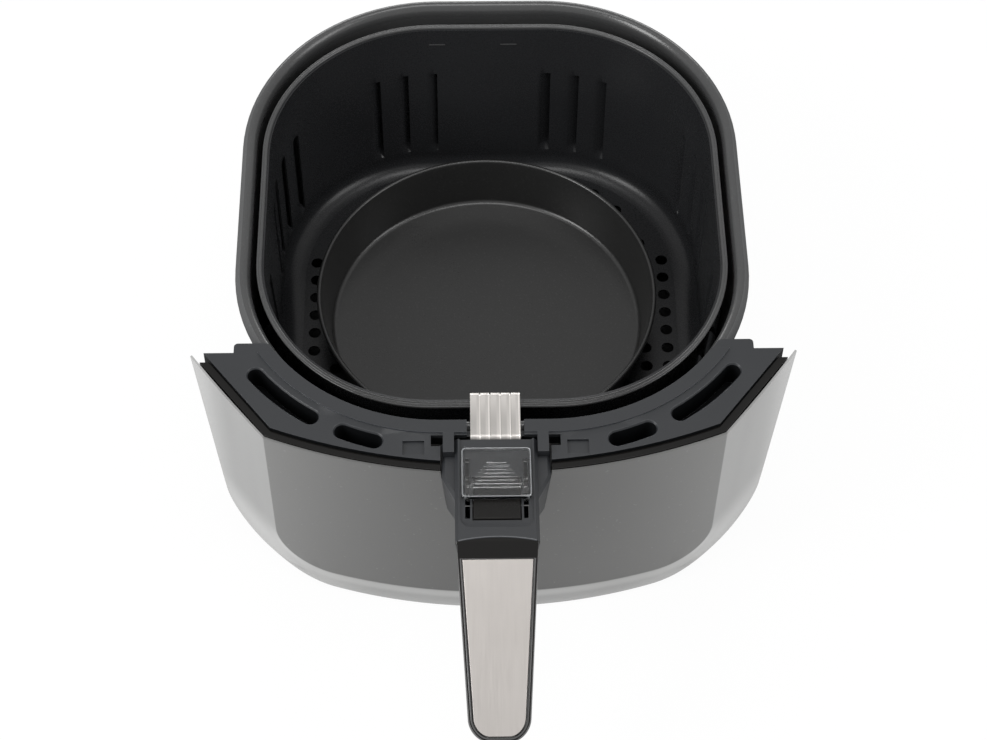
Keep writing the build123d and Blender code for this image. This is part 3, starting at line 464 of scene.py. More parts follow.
def rounded_ring(half_x, half_y, corner, z, steps):
    """Points of a level rounded rectangle, anticlockwise."""
    points = []
    for quarter in range(4):
        middle = Vector(((half_x - corner) * (1, -1, -1, 1)[quarter],
                         (half_y - corner) * (1, 1, -1, -1)[quarter], z))
        for step in range(steps + 1):
            turn = (quarter + step / steps) * pi / 2
            points.append(middle + corner * Vector((cos(turn), sin(turn), 0)))
    return points


def skin(bm, rings, closed=True):
    """Faces between rings of equal length."""
    rows = [[bm.verts.new(point) for point in ring] for ring in rings]
    for low, high in zip(rows, rows[1:]):
        for first in range(len(low) if closed else len(low) - 1):
            second = (first + 1) % len(low)
            bm.faces.new((low[first], low[second], high[second], high[first]))
    return rows


def arc(centre, radius, start, end, steps):
    """Points of an arc in a plane, angles in degrees."""
    turns = [radians(start + (end - start) * step / steps) for step in range(steps + 1)]
    return [(centre[0] + radius * cos(turn), centre[1] + radius * sin(turn)) for turn in turns]


def thicken(mesh, depth, outward):
    """Give a sheet its thickness on the side away from outward, a test of one face's place and normal."""
    mesh.normal_update()
    turned = [face for face in mesh.faces if not outward(face.calc_center_median(), face.normal)]
    bmesh.ops.reverse_faces(mesh, faces=turned)
    bmesh.ops.solidify(mesh, geom=mesh.faces[:], thickness=depth)


def piece(name, mesh, body, slot, nodes, coats=None, sharp=35.0):
    """A finished piece from a bmesh, riding on a body in place of CAD nodes, in its coats or its slot's."""
    bmesh.ops.recalc_face_normals(mesh, faces=mesh.faces)
    data = bpy.data.meshes.new(name)
    mesh.to_mesh(data)
    mesh.free()
    for coat in coats or (slot,):
        data.materials.append(finish(coat))
    data.polygons.foreach_set("use_smooth", [True] * len(data.polygons))
    data.set_sharp_from_angle(angle=radians(sharp))
    made = bpy.data.objects.new(name, data)
    bpy.context.scene.collection.objects.link(made)
    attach(made, body)
    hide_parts(*nodes)
    return made


def softened(node, name, body, slot, width, edge=None, shift=None):
    """A CAD node's form with its edges rounded over, the rounds in a lighter edge finish that is a painted
    highlight, each point moved by shift.
    """
    mesh = bmesh.new()
    mesh.from_mesh(frame["nodes"][node].data)
    for vert in mesh.verts if shift else ():
        vert.co += shift(vert.co)
    bmesh.ops.remove_doubles(mesh, verts=mesh.verts, dist=1e-6)
    bmesh.ops.dissolve_limit(mesh, angle_limit=radians(0.5), use_dissolve_boundaries=False,
                             verts=mesh.verts, edges=mesh.edges, delimit=set())
    made = piece(name, mesh, body, slot, [node], (slot, edge) if edge else None)
    bevel = made.modifiers.new("soft edges", "BEVEL")
    bevel.width = width
    bevel.segments = 2
    bevel.limit_method = "ANGLE"
    bevel.angle_limit = radians(32)
    bevel.harden_normals = True
    if edge:
        bevel.material = 1
    return made


def rounder(spot):
    """Shift that rounds the grip's end out along its slope."""
    grip = bpy.context.scene.drawer_grip
    reach = min(max((GRIP_LOW.y + grip.tip - spot.y) / grip.tip, 0), 1)
    return grip.tip_bulge * reach * max(1 - (spot.x / grip.tip_half) ** 2, 0) * GRIP_WAY


class Maker(bpy.types.Operator):
    """Shared settings of the drawer's operators"""
    bl_options = {"REGISTER", "UNDO"}


class DRAWER_OT_finishes(Maker):
    """Mix the finishes that several pieces share"""
    bl_idname = "drawer.finishes"
    bl_label = "Finishes"

    def execute(self, context):
        scene = context.scene
        tones = scene.drawer_finish
        pan = scene.drawer_pan.coat
        guard = scene.drawer_guard.edge
        coated("pan_coat", pan, 0.38, 1.8)
        # darker copy of the pan's coat: painted shade low inside the pan
        coated("pan_floor_shade", toned(pan, 0.2), 0.5, 1.4, gloss=0.2)
        # lighter copy of the pan's coat: painted light on the outer side of the rolled rim
        coated("rim_lit_side", toned(pan, 1.9), 0.6, 1.4, gloss=0.0)
        coated("rim_coat", pan, 0.23, 1.6, gloss=0.55)
        # painted shade on the rim's front
        coated("basket_rim", pan, 0.25, 1.6, gloss=0.45, painted_shade_y=(-0.118, -0.080))
        coated("basket_coat", scene.drawer_basket.coat, 0.27, 1.8, gloss=0.34)
        coated("tin_coat", scene.drawer_tin.coat, 0.29, 3.0, lumps=1500.0, gloss=0.6)
        moulded("frame_plastic", tones.plastic, 0.42, gloss=0.46)
        # lighter copy of the plastic: painted highlight on rounded edges and steps
        moulded("frame_edge", toned(tones.plastic, 2.6), 0.30, gloss=0.7)
        # darker copy of the plastic: painted shade inside the deck's vents
        moulded("vent_shade", toned(tones.plastic, 0.3), 0.60, gloss=0.1)
        # lighter copy of the black gloss: painted highlight on the grip's edges
        moulded("gloss_edge", tones.edge, 0.22, gloss=0.4)
        moulded("gloss_black", tones.gloss, 0.16, gloss=0.24, gloss_coat=0.1)
        moulded("button_plastic", tones.button, 0.26, gloss=0.2)
        # the bracket: painted shadow and glint along its flutes, painted shade on its lower front
        metal("bright_steel", tones.steel, 0.36, (1.0, 0.05, 0.05), 900.0, 0.05,
              painted_lines_x=BRACKET_SHADE_LINES, painted_shade_y=(-0.138, -0.119))
        metal("plain_steel", tones.zinc, 0.38, (1.0, 1.0, 1.0), 700.0, 0.05)
        metal("brushed_trim", tones.trim, 0.40, (1.0, 0.02, 0.02), 2200.0, 0.10)
        clear("clear_plastic", (0.93, 0.94, 0.95), (0.99, 0.99, 0.99), 1.0)
        # milky copy of the clear plastic: painted highlight on the guard's edges
        clear("clear_edge_highlight", toned(guard, 0.9), guard, 0.75)
        front_paint(scene.drawer_front)
        for sub in frame["record"]["subparts"]:
            slots = frame["nodes"][sub["node"]].data.materials
            slots.clear()
            slots.append(finish(sub["material_slot"]))
        return {"FINISHED"}


class DRAWER_OT_pan(Maker):
    """Pressed outer pan with a rolled rim"""
    bl_idname = "drawer.pan"
    bl_label = "Pan"

    def execute(self, context):
        pan = context.scene.drawer_pan
        half_x, half_y, top = PAN_HIGH
        inside = pan.bead - pan.wall
        foot = top - pan.bead_height
        roll = pan.bead / 2
        ease = pan.wall / 2
        outer = [(inside + pan.draft + pan.edge * (1 - sin(turn)), pan.edge * (1 - cos(turn)))
                 for turn in [radians(step * 10) for step in range(10)]]
        under = [(inside, foot - ease), (inside - ease, foot), (pan.wall, foot),
                 (ease / 2, foot + pan.wall / 3)]
        crown = [(roll - roll * cos(turn), foot + pan.wall + (pan.bead_height - pan.wall) * sin(turn))
                 for turn in [radians(step * 12) for step in range(16)]]
        inner = [(inset + pan.wall, z + pan.wall * max(1 - z / pan.edge, 0))
                 for inset, z in reversed(outer)]
        profile = [*outer, *under, *crown, (pan.bead, foot), *inner]
        rings = [rounded_ring(half_x - inset, half_y - inset, pan.corner - inset, z, 24)
                 for inset, z in profile]
        for spot in (spot for ring in rings for spot in ring):
            spot.y *= 1 + pan.back_swell / half_y * max(spot.y / half_y, 0) * (spot.z / top) ** 4
        mesh = bmesh.new()
        rows = skin(mesh, rings)
        mesh.faces.new(rows[0])
        mesh.faces.new(rows[-1])
        coats = ("pan_coat", "pan_floor_shade", "rim_coat", "rim_lit_side")
        made = piece("pan", mesh, "drawer", "pan_coat", ["outer_pan"], coats)
        rim_start = len(outer)
        rim_end = rim_start + len(under) + len(crown)
        rim_turn = rim_end - len(crown) // 2 - 2
        floor_start = len(profile) - 5
        for face in made.data.polygons:
            row = face.index // len(rings[0])
            if rim_start <= row < rim_end:
                # painted light on the outer side of the roll
                coat = "rim_lit_side" if row < rim_turn else "rim_coat"
            else:
                # painted shade low inside the pan
                coat = "pan_floor_shade" if row >= floor_start else "pan_coat"
            face.material_index = coats.index(coat)
        return {"FINISHED"}


class Wall:
    """The basket's wall as a surface: facing quarter, place across it and height."""

    def __init__(self, basket):
        self.sizes = basket
        shrink = basket.flange - basket.wall
        self.half_x = BASKET_HIGH.x - shrink
        self.half_y = BASKET_HIGH.y - shrink
        self.corner = basket.corner - shrink
        self.top = BASKET_HIGH.z
        self.foot = BASKET_LOW.z + basket.edge

    def frame(self, height, inset):
        """Half sizes and corner radius of the wall's outline at a height."""
        sizes = self.sizes
        lean = 1 - (height - self.foot) / (self.top - self.foot) if height > self.foot else 1.0
        side = sizes.side_draft * lean
        return (self.half_x - side - inset * sizes.side_edge / sizes.edge,
                self.half_y - sizes.end_draft * lean - inset, self.corner - side - inset)

    def across(self, facing, along, height):
        """Place from -2 to 2 of a point so far along a wall: 1 is where the corner starts."""
        half_x, half_y, corner = self.frame(height, 0)
        straight = (half_x if facing % 2 else half_y) - corner
        reach = abs(along)
        place = reach / straight if reach < straight else 1 + (reach - straight) / (corner * pi / 4)
        return place if along > 0 else -place

    def at(self, facing, place, height, inset=0.0, out=0.0):
        """Point of the wall, moved outwards by out."""
        half_x, half_y, corner = self.frame(height, inset)
        side, ahead = (half_x, half_y) if facing % 2 else (half_y, half_x)
        sign = 1 if place > 0 else -1
        bend = max(abs(place) - 1, 0) * pi / 4
        sideways = sign * (min(abs(place), 1) * (side - corner) + (corner + out) * sin(bend))
        outwards = ahead - corner + (corner + out) * cos(bend)
        turn = Matrix.Rotation(facing * pi / 2, 3, "Z")
        return turn @ Vector((outwards, sideways, height))


class DRAWER_OT_basket(Maker):
    """Basket wall with pressed louvres, rolled rim and fill marks"""
    bl_idname = "drawer.basket"
    bl_label = "Basket"

    def execute(self, context):
        sizes = context.scene.drawer_basket
        wall = Wall(sizes)
        low = wall.foot + sizes.louvre_rise
        high = low + sizes.louvre_length
        middle = (low + high) / 2
        edge = [(BASKET_LOW.z + sizes.edge * (1 - cos(turn)), sizes.edge * (1 - sin(turn)))
                for turn in [radians(step * 11.25) for step in range(8)]]
        levels = [low + sizes.louvre_length * step / 24 for step in range(25)]
        crest = wall.top - 1.2 * sizes.wall
        upper = [high + (crest - high) * step / 6 for step in range(1, 7)]
        rows = [*edge, *[(z, 0.0) for z in (wall.foot, *levels, *upper)]]
        plain = [-2 + step / 12 for step in range(49)]
        clear_of = 0.02
        slope, square = 1.3, 14  # how a louvre rises across its width, how square its ends are
        mesh = bmesh.new()
        made = {}

        def vert(key, point):
            if key not in made:
                made[key] = mesh.verts.new(point)
            return made[key]

        for facing in range(4):
            count, start = (3, sizes.end_start) if facing % 2 else (4, sizes.side_start)
            vents = []
            for side in (-1, 1):
                for number in range(count):
                    along = side * (start + number * sizes.louvre_pitch)
                    vents.append(tuple(wall.across(facing, along + part * sizes.louvre_width / 2, middle)
                                       for part in (-1, 1)))
            columns = {round(first + (last - first) * step / 6, 6)
                       for first, last in vents for step in range(7)}
            columns |= {place for place in plain
                        if not any(first - clear_of < place < last + clear_of for first, last in vents)}
            columns = sorted(columns)

            def corner(column, row, vent):
                height, inset = rows[row]
                place = columns[column]
                out = 0.0
                if vent:
                    first, last = vent
                    part = (last - place) / (last - first)
                    climb = 2 * (height - low) / (high - low) - 1
                    out = sizes.louvre_depth * max(0.0, part) ** slope * max(0.0, 1 - abs(climb) ** square)
                wrap, spot = ((facing + 1) % 4, 0) if column == len(columns) - 1 else (facing, column)
                key = (wrap, spot, row, vent if out > 1e-6 else None)
                return vert(key, wall.at(facing, place, height, inset, out))

            for column in range(len(columns) - 1):
                centre = (columns[column] + columns[column + 1]) / 2
                inside = next((vent for vent in vents if vent[0] < centre < vent[1]), None)
                for row in range(len(rows) - 1):
                    lies = low - 1e-6 < rows[row][0] and rows[row + 1][0] < high + 1e-6
                    vent = inside if inside and lies else None
                    mesh.faces.new([corner(column + right, row + up, vent)
                                    for right, up in ((0, 0), (1, 0), (1, 1), (0, 1))])
        thicken(mesh, sizes.wall, lambda spot, normal: spot.xy.dot(normal.xy) > 0)
        piece("basket_wall", mesh, "basket", "basket_coat", ["basket_shell"])

        rim = bmesh.new()
        inset = sizes.flange
        roll = inset / 3
        bead = (0.8 * roll + sizes.rim_reach) / 2
        under = -1.4 * roll
        profile = [*arc((inset - 1.8 * roll, -roll), roll, -25, 150, 12), (0.1 * inset, -0.5 * roll),
                   *arc((bead - sizes.rim_reach, -bead), bead, 20, 200, 10),
                   (-0.5 * sizes.rim_reach, under), (inset - roll, under)]
        loops = []
        for x, z in profile:
            ring = rounded_ring(BASKET_HIGH.x - x, BASKET_HIGH.y - x, sizes.corner - x,
                                wall.top + z, 32)
            for spot in ring:
                spot.y -= sizes.rim_front * (1 - x / inset) * max(-spot.y / BASKET_HIGH.y, 0) ** 3
            loops.append(ring)
        skin(rim, [*loops, loops[0]])
        bmesh.ops.remove_doubles(rim, verts=rim.verts, dist=1e-7)
        piece("basket_rim", rim, "basket", "basket_coat", ["basket_shell"], ("basket_rim",), sharp=50.0)

        marks = bmesh.new()
        back = wall.at(1, 0, sizes.mark_rise).y - sizes.wall
        size = Vector((sizes.mark_length, 0.75 * sizes.mark_width, sizes.mark_width))
        for x in MARK_PLACES:
            bmesh.ops.create_cube(marks, size=1.0, matrix=Matrix.LocRotScale(
                Vector((x, back, sizes.mark_rise)), None, size))
        bmesh.ops.bevel(marks, geom=marks.edges, offset=sizes.mark_width / 4, segments=2, affect="EDGES")
        piece("fill_marks", marks, "basket", "basket_coat", ["basket_shell"], ("pan_coat",))
        return {"FINISHED"}


class DRAWER_OT_floor(Maker):
    """Basket floor with its staggered round holes"""
    bl_idname = "drawer.floor"
    bl_label = "Basket floor"

    def execute(self, context):
        sizes = context.scene.drawer_basket
        wall = Wall(sizes)
        half_x, half_y, corner = wall.frame(wall.foot, sizes.edge)
        field_x, field_y = half_x + sizes.field_margin, half_y - sizes.field_margin
        far_x, far_y = int(field_x / sizes.pitch), int(field_y / sizes.pitch)
        mesh = bmesh.new()
        loops = [rounded_ring(half_x, half_y, corner, FLOOR_TOP, 24)]
        for column in range(-far_x, far_x + 1):
            for row in range(-far_y, far_y + 1):
                x, y = column * sizes.pitch, row * sizes.pitch
                full = abs(column) >= sizes.full_column
                staggered = abs(row) <= sizes.side_rows if full else (column + row) % 2 == 0
                sparse = hypot(column, row) > sizes.open_field or column % 2 == 0
                spread = sum(abs(part) ** sizes.field_power for part in (x / field_x, y / field_y))
                if staggered and sparse and spread < 1:
                    loops.append([Vector((*spot, FLOOR_TOP))
                                  for spot in arc((x, y), sizes.hole / 2, 0, 345, 23)])
        edges = []
        for loop in loops:
            verts = [mesh.verts.new(point) for point in loop]
            edges += [mesh.edges.new(ends) for ends in zip(verts, verts[1:] + verts[:1])]
        bmesh.ops.triangle_fill(mesh, use_beauty=True, edges=edges, normal=(0, 0, 1))
        thicken(mesh, sizes.wall, lambda spot, normal: normal.z > 0)
        piece("basket_base", mesh, "basket", "basket_coat", ["basket_floor"])
        return {"FINISHED"}


class DRAWER_OT_tin(Maker):
    """Round baking tin with a rolled rim"""
    bl_idname = "drawer.tin"
    bl_label = "Baking tin"

    def execute(self, context):
        sizes = context.scene.drawer_tin
        middle = (TIN_LOW + TIN_HIGH) / 2 + Vector(sizes.slide)
        radius = (TIN_HIGH.x - TIN_LOW.x) / 2 + sizes.grow
        low, high = TIN_LOW.z, TIN_HIGH.z
        wall = radius - sizes.bead
        base = wall - sizes.taper
        lean = degrees(atan2(high - low, sizes.taper))
        roll = sizes.bead / 2
        hub, ease = 0.02, 0.0006

        def edge(depth):
            """Rounded edge between floor and wall, so deep inside the outer face."""
            return arc((base - sizes.edge + ease, low + sizes.edge), sizes.edge - depth, -90, lean - 98, 8)

        profile = [(hub, low), (base - hub, low), *edge(0.0), (wall, high - sizes.bead),
                   *arc((radius - roll, high - roll), roll, -120, 170, 14),
                   (wall - sizes.wall, high - sizes.bead - ease), *reversed(edge(sizes.wall)),
                   (base - hub, low + sizes.wall), (hub, low + sizes.wall)]
        turns = [2 * pi * step / 144 for step in range(144)]
        mesh = bmesh.new()
        rows = skin(mesh, [[Vector((middle.x + r * cos(turn), middle.y + r * sin(turn), z)) for turn in turns]
                           for r, z in profile])
        mesh.faces.new(rows[0])
        mesh.faces.new(rows[-1])
        piece("tin", mesh, "baking_tin", "tin_coat", ["baking_tin"])
        return {"FINISHED"}


class DRAWER_OT_front(Maker):
    """Silver front: arched face inside a crease, wings that sweep back and a lip below"""
    bl_idname = "drawer.front"
    bl_label = "Front panel"

    def execute(self, context):
        front = context.scene.drawer_front
        nose = PANEL_LOW.y
        top = PANEL_HIGH.z
        bow = (front.face_half ** 2 + front.face_setback ** 2) / (2 * front.face_setback)

        def arch(x):
            return nose + bow - sqrt(bow ** 2 - x ** 2)

        sweep = (PANEL_HIGH.y - arch(front.tip_half)) / (front.tip_half - front.face_half)
        inner_x = front.face_half - front.face_corner
        inner_z = front.face_foot + front.face_corner

        def depth(x, z):
            """Y of the surface: the arch, falling back outside the crease."""
            over_x = max(abs(x) - inner_x, 0)
            over_z = max(inner_z - z, 0)
            spread = hypot(over_x, over_z)
            out = max(spread - front.face_corner, 0)
            side = (over_x / spread) ** 2 if spread else 0
            roll = min(out / front.face_foot, 1.0)
            lip = front.lip_crown * (pi * (out / front.face_foot - roll) - sin(pi * roll))
            return arch(x) + side * sweep * out + (1 - side) * lip

        foot = Vector((front.tip_half - front.foot_inset, front.foot_rise))
        sag = foot.length_squared / (2 * foot.y)
        rise = Vector((front.tip_half - foot.x, top - foot.y)).normalized()
        run = Vector((sqrt(1 - (foot.x / sag) ** 2), foot.x / sag))
        turn = run.angle(rise)
        start = foot - run * front.wing_corner * tan(turn / 2)
        middle = start + front.wing_corner * Vector((-run.y, run.x))
        begin = degrees(atan2(start.y - middle.y, start.x - middle.x))

        across, below, above, bend = 8, 8, 6, 20  # steps of the notch, the heights beside it, the corners

        def levels(foot_z):
            """Heights of one column of the face, from its foot past the notch's foot to the top."""
            lower = [foot_z + (front.notch_foot - foot_z) * step / below for step in range(below + 1)]
            return lower + [front.notch_foot + (top - front.notch_foot) * step / above
                            for step in range(1, above + 1)]

        feet = [front.notch_half * step / across for step in range(across)]
        feet += [front.notch_half + (inner_x - front.notch_half) * step / 24 for step in range(24)]
        rim = [start.x * x / inner_x for x in feet]
        rim = [Vector((x, sag - sqrt(sag ** 2 - x ** 2))) for x in rim]
        rim += [Vector(spot)
                for spot in arc(middle, front.wing_corner, begin, begin + degrees(turn), bend)]
        rim += [rim[-1].lerp(Vector((front.tip_half, top)), step / (below + above))
                for step in range(1, below + above + 1)]
        feet = [(x, front.face_foot) for x in feet]
        feet += arc((inner_x, inner_z), front.face_corner, -90, 0, bend)
        crease = [Vector(spot) for spot in feet]
        crease += [Vector((front.face_half, z)) for z in levels(inner_z)[1:]]
        mesh = bmesh.new()
        for side in (-1, 1):
            rows = []
            for edge, line in zip(rim, crease):
                spots = [line.lerp(edge, step / 10) for step in range(11)]
                rows.append([Vector((side * x, depth(x, z), z)) for x, z in spots])
            skin(mesh, rows, closed=False)
            columns = []
            for foot_x, foot_z in feet:
                flare = front.notch_flare if foot_x == front.notch_half else 0.0
                column = []
                for z in levels(foot_z):
                    x = foot_x + flare * max(z - front.notch_foot, 0) / (top - front.notch_foot)
                    column.append(Vector((side * x, arch(x), z)))
                columns.append(column)
            skin(mesh, [column[:below + 1] for column in columns[:across + 1]], closed=False)
            skin(mesh, columns[across:], closed=False)
        bmesh.ops.remove_doubles(mesh, verts=mesh.verts, dist=1e-6)
        thicken(mesh, front.wall, lambda spot, normal: normal.y < 0)
        piece("front_skin", mesh, "drawer", "panel_silver", ["front_panel"], sharp=8.0)
        return {"FINISHED"}


class DRAWER_OT_moulded(Maker):
    """Moulded plastic pieces: drawer frame, panel backing, handle and latch"""
    bl_idname = "drawer.moulded"
    bl_label = "Moulded pieces"

    def execute(self, context):
        tones = context.scene.drawer_finish
        front = context.scene.drawer_front
        soft = tones.soft_edge

        def tucked(spot):
            """Shift that draws the backing's lower corners in behind the skin."""
            drop = max(front.backing_fold - spot.z, 0)
            inwards = front.backing_draw * (spot.x / front.tip_half) ** 5
            return drop * Vector((-inwards, front.backing_lean, 0))

        deck = softened("drawer_frame", "deck", "drawer", "frame_plastic", soft, "frame_edge")
        deck.data.materials.append(finish("vent_shade"))
        for face in deck.data.polygons:
            # painted highlight: step faces above the pan
            step = face.center.z > PAN_HIGH.z + tones.step_highlight_rise and abs(face.normal.z) < 0.5
            # painted shade: faces inside the vents
            vent = face.center.z < PAN_HIGH.z - tones.vent_shade_drop
            face.material_index = 2 if vent else int(step)
        for made_from in (
            ("panel_backing", "dark_band", "drawer", "gloss_black", soft, None, tucked),
            # rounded edges of neck and lid in the lighter finish, a painted highlight
            ("handle_neck", "neck", "basket", "frame_plastic", soft, "frame_edge"),
            ("neck_cover", "neck_lid", "basket", "frame_plastic", soft, "frame_edge"),
            # rounded edges of the grip in the lighter finish, a painted highlight
            ("grip_upper", "grip_top", "basket", "gloss_black", 2 * soft, "gloss_edge", rounder),
            ("grip_lower", "grip_base", "basket", "gloss_black", 2 * soft, "gloss_edge", rounder),
            ("release_button", "button", "release_button", "button_plastic", soft / 2),
            ("latch_lever", "lever", "latch_lever", "frame_plastic", soft),
            ("button_guard", "guard", "button_guard", "clear_plastic", soft / 2),
        ):
            softened(*made_from)
        return {"FINISHED"}


class DRAWER_OT_guard_edges(Maker):
    """Painted highlights on the clear guard's edges: a milky bead round its plate and a ledge along its front
    """
    bl_idname = "drawer.guard_edges"
    bl_label = "Guard edges"

    def execute(self, context):
        guard = context.scene.drawer_guard
        half = Vector((GUARD_HIGH.x, (GUARD_HIGH.y - GUARD_LOW.y) / 2))
        middle = (GUARD_LOW.y + GUARD_HIGH.y) / 2
        mesh = bmesh.new()
        loops = []
        for x, z in arc((guard.bead / 2, 0.0), guard.bead / 2, 0, 330, 11):
            ring = rounded_ring(half.x - x, half.y - x, guard.corner - x,
                                GUARD_HIGH.z - guard.bead / 4 + z, 6)
            loops.append([spot + Vector((0, middle, 0)) for spot in ring])
        skin(mesh, [*loops, loops[0]])
        bmesh.ops.remove_doubles(mesh, verts=mesh.verts, dist=1e-7)
        ledge = bmesh.ops.create_cube(mesh, size=1.0, matrix=Matrix.LocRotScale(
            Vector((0, GUARD_LOW.y + guard.bead / 2, GUARD_HIGH.z - guard.ledge / 2)), None,
            Vector((2 * (half.x - guard.corner / 2), guard.bead, guard.ledge))))
        sides = list(dict.fromkeys(edge for vert in ledge["verts"] for edge in vert.link_edges))
        bmesh.ops.bevel(mesh, geom=sides, offset=guard.bead / 4, segments=2, affect="EDGES")
        piece("guard_bead", mesh, "button_guard", "clear_plastic", ["button_guard"], ("clear_edge_highlight",))
        return {"FINISHED"}


class DRAWER_OT_metalwork(Maker):
    """Steel bracket and brushed grip plate"""
    bl_idname = "drawer.metalwork"
    bl_label = "Metalwork"

    def execute(self, context):
        soft = context.scene.drawer_finish.soft_edge
        softened("basket_bracket", "bracket", "basket", "bright_steel", soft / 2)
        softened("grip_trim", "grip_plate", "basket", "brushed_trim", soft / 2, None, rounder)
        return {"FINISHED"}


class DRAWER_OT_grip_lines(Maker):
    """Rounded border of the grip round its plate, with a painted highlight along its crown, and a bead along
    the neck's joint in a painted-highlight finish
    """
    bl_idname = "drawer.grip_lines"
    bl_label = "Grip lines"

    def execute(self, context):
        grip = context.scene.drawer_grip
        plate = bmesh.new()
        plate.from_mesh(frame["nodes"]["grip_trim"].data)
        bmesh.ops.remove_doubles(plate, verts=plate.verts, dist=1e-6)
        up = max(plate.faces, key=lambda face: face.calc_area() * face.normal.z).normal.copy()
        flat = [face for face in plate.faces if face.normal.dot(up) > 0.999]
        nearby = {}
        for edge in dict.fromkeys(edge for face in flat for edge in face.edges):
            if sum(face in flat for face in edge.link_faces) == 1:
                for vert in edge.verts:
                    nearby.setdefault(vert, []).append(edge.other_vert(vert))
        outline = [next(iter(nearby))]
        while len(outline) < len(nearby):
            outline.append(next(vert for vert in nearby[outline[-1]] if vert not in outline))
        spots = [vert.co + rounder(vert.co) for vert in outline]
        plate.free()
        middle = sum(spots, Vector()) / len(spots)
        away = [(after - before).cross(up).normalized()
                for before, after in zip(spots[-1:] + spots[:-1], spots[1:] + spots[:1])]
        side = 1 if away[0].dot(spots[0] - middle) > 0 else -1
        border = bmesh.new()
        # across the border and down its side, in parts of its width and drop; rows 2 to 5 carry a painted
        # highlight
        profile = [(0.08, -0.20), (0.14, -0.07), (0.28, -0.03), (0.45, -0.05), (0.65, -0.12),
                   (0.82, -0.24), (0.94, -0.42), (1.0, -0.7), (1.0, -1.0), (0.08, -1.0)]
        lit_rows = range(2, 6)
        loops = [[spot + side * grip.border * out * way + grip.border_drop * lift * up
                  for spot, way in zip(spots, away)] for out, lift in profile]
        skin(border, [*loops, loops[0]])
        bmesh.ops.remove_doubles(border, verts=border.verts, dist=1e-7)
        made = piece("plate_border", border, "basket", "gloss_black", ["grip_upper"],
                     ("gloss_black", "gloss_edge"))
        for face in made.data.polygons:
            face.material_index = int(face.index // len(spots) in lit_rows)

        joint = bmesh.new()
        middle = Vector(grip.joint_place)
        rows = []
        for part in (step / 12 - 1 for step in range(25)):
            arched = Vector((grip.joint_half * part, -grip.joint_arch * part ** 2, 0))
            rows.append([middle + arched + Vector((0, *spot))
                         for spot in arc((0, 0), grip.joint / 2, 0, 315, 7)])
        ends = skin(joint, rows)
        joint.faces.new(ends[0])
        joint.faces.new(ends[-1])
        # the joint bead in the lighter finish: a painted highlight
        piece("neck_joint", joint, "basket", "frame_plastic", ["handle_neck"], ("frame_edge",))
        return {"FINISHED"}


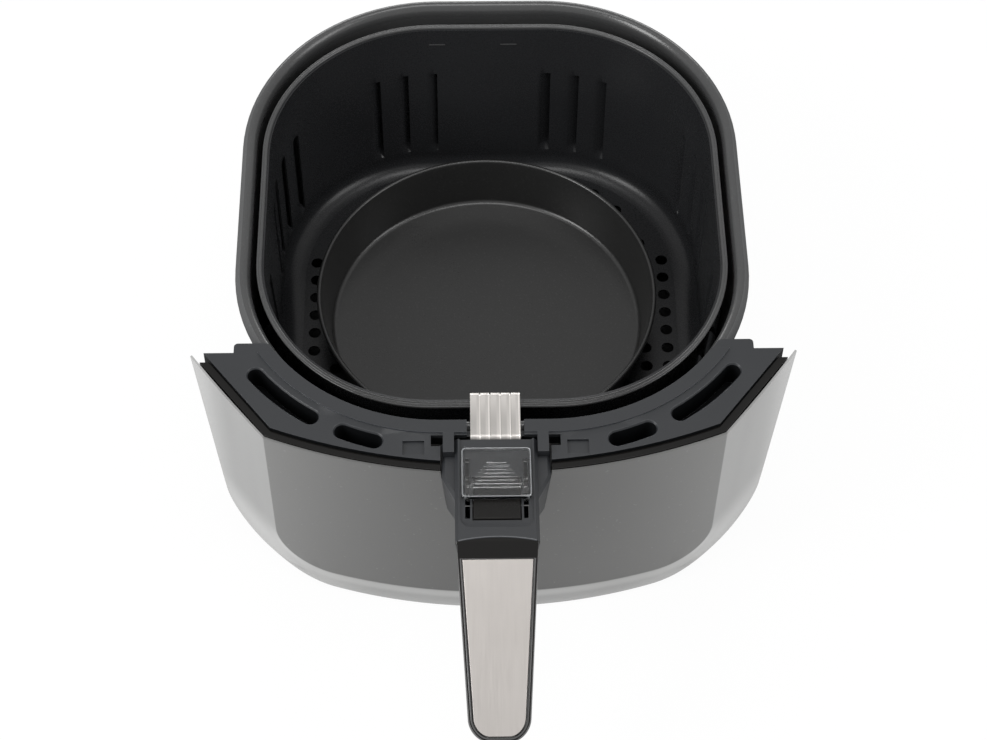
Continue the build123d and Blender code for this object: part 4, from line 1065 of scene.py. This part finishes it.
class DRAWER_OT_stage(Maker):
    """White floor, soft studio light and the camera"""
    bl_idname = "drawer.stage"
    bl_label = "Stage"

    def execute(self, context):
        stage = context.scene.drawer_stage
        mesh = bmesh.new()
        bmesh.ops.create_grid(mesh, x_segments=1, y_segments=1, size=6.0)
        data = bpy.data.meshes.new("floor")
        mesh.to_mesh(data)
        mesh.free()
        floor = bpy.data.objects.new("floor", data)
        floor.location.z = -0.0002
        context.scene.collection.objects.link(floor)
        paint = Paint("floor", Base_Color=(*stage.floor_tone, 1.0), Roughness=0.9, Specular_IOR_Level=0.0)
        white = paint.node("ShaderNodeEmission", {}, {"Color": (1.0, 1.0, 1.0, 1.0), "Strength": 1.0})
        mirrored = paint.ray("Glossy") + paint.ray("Transmission")
        shown = stage.floor_shown * paint.ray("Camera") + stage.floor_mirrored * mirrored
        mixed = paint.node("ShaderNodeMixShader", {},
                           {0: shown, 1: Value(paint, paint.shader.outputs[0]), 2: white})
        paint.put(paint.tree.nodes["Material Output"].inputs["Surface"], mixed)
        data.materials.append(paint.material)

        world = bpy.data.worlds.new("surroundings")
        context.scene.world = world
        world.use_nodes = True
        air = Nodes(world.node_tree)
        backdrop = air.tree.nodes["Background"].inputs
        air.put(backdrop["Color"], (1.0, 1.0, 1.0, 1.0))
        air.put(backdrop["Strength"], stage.ambient + (1.0 - stage.ambient) * air.ray("Camera"))

        for name, spot, aim, size, power in (
            ("top_softbox", (0.0, 0.05, 1.5), (0.0, -0.05, 0.08), (0.7, 0.5), stage.top_power),
            ("left_softbox", (-1.0, -0.5, 0.95), (0.0, -0.1, 0.05), (0.5, 0.8), stage.left_power),
            ("right_softbox", (1.0, -0.3, 0.95), (0.0, -0.1, 0.05), (0.5, 0.8), stage.right_power),
            ("back_softbox", (0.0, 1.25, 0.4), (0.0, 0.05, 0.12), (1.4, 0.35), stage.back_power),
        ):
            lamp = bpy.data.lights.new(name, "AREA")
            lamp.shape = "RECTANGLE"
            lamp.size, lamp.size_y = size
            lamp.energy = power
            made = bpy.data.objects.new(name, lamp)
            made.location = spot
            made.rotation_euler = (Vector(aim) - Vector(spot)).to_track_quat("-Z", "Y").to_euler()
            context.scene.collection.objects.link(made)

        camera = bpy.data.cameras.new("camera")
        camera.lens = stage.lens
        camera.sensor_width = 36.0
        eye = bpy.data.objects.new("camera", camera)
        look = (Vector(stage.aim) - Vector(stage.eye)).to_track_quat("-Z", "Y").to_matrix()
        eye.matrix_world = Matrix.Translation(Vector(stage.eye)) @ (
            look @ Matrix.Rotation(stage.roll, 3, "Z")).to_4x4()
        context.scene.collection.objects.link(eye)
        context.scene.camera = eye
        context.scene.view_settings.view_transform = "Standard"
        return {"FINISHED"}


GROUPS = {
    "drawer_pan": DrawerPan,
    "drawer_basket": DrawerBasket,
    "drawer_tin": DrawerTin,
    "drawer_front": DrawerFront,
    "drawer_guard": DrawerGuard,
    "drawer_grip": DrawerGrip,
    "drawer_finish": DrawerFinish,
    "drawer_stage": DrawerStage,
}
STEPS = (
    DRAWER_OT_finishes,
    DRAWER_OT_pan,
    DRAWER_OT_basket,
    DRAWER_OT_floor,
    DRAWER_OT_tin,
    DRAWER_OT_front,
    DRAWER_OT_moulded,
    DRAWER_OT_guard_edges,
    DRAWER_OT_metalwork,
    DRAWER_OT_grip_lines,
    DRAWER_OT_stage,
)


class DRAWER_PT_panel(bpy.types.Panel):
    """Steps that dress the drawer"""
    bl_idname = "DRAWER_PT_panel"
    bl_label = "Drawer"
    bl_space_type = "VIEW_3D"
    bl_region_type = "UI"
    bl_category = "Drawer"

    def draw(self, context):
        for step in STEPS:
            self.layout.operator(step.bl_idname)


def register():
    for name, group in GROUPS.items():
        bpy.utils.register_class(group)
        setattr(bpy.types.Scene, name, PointerProperty(type=group))
    for step in (*STEPS, DRAWER_PT_panel):
        bpy.utils.register_class(step)


def unregister():
    for step in (DRAWER_PT_panel, *reversed(STEPS)):
        bpy.utils.unregister_class(step)
    for name, group in reversed(GROUPS.items()):
        delattr(bpy.types.Scene, name)
        bpy.utils.unregister_class(group)


def main():
    register()
    for step in STEPS:
        family, name = step.bl_idname.split(".")
        getattr(getattr(bpy.ops, family), name)()


if __name__ == "__main__":
    main()
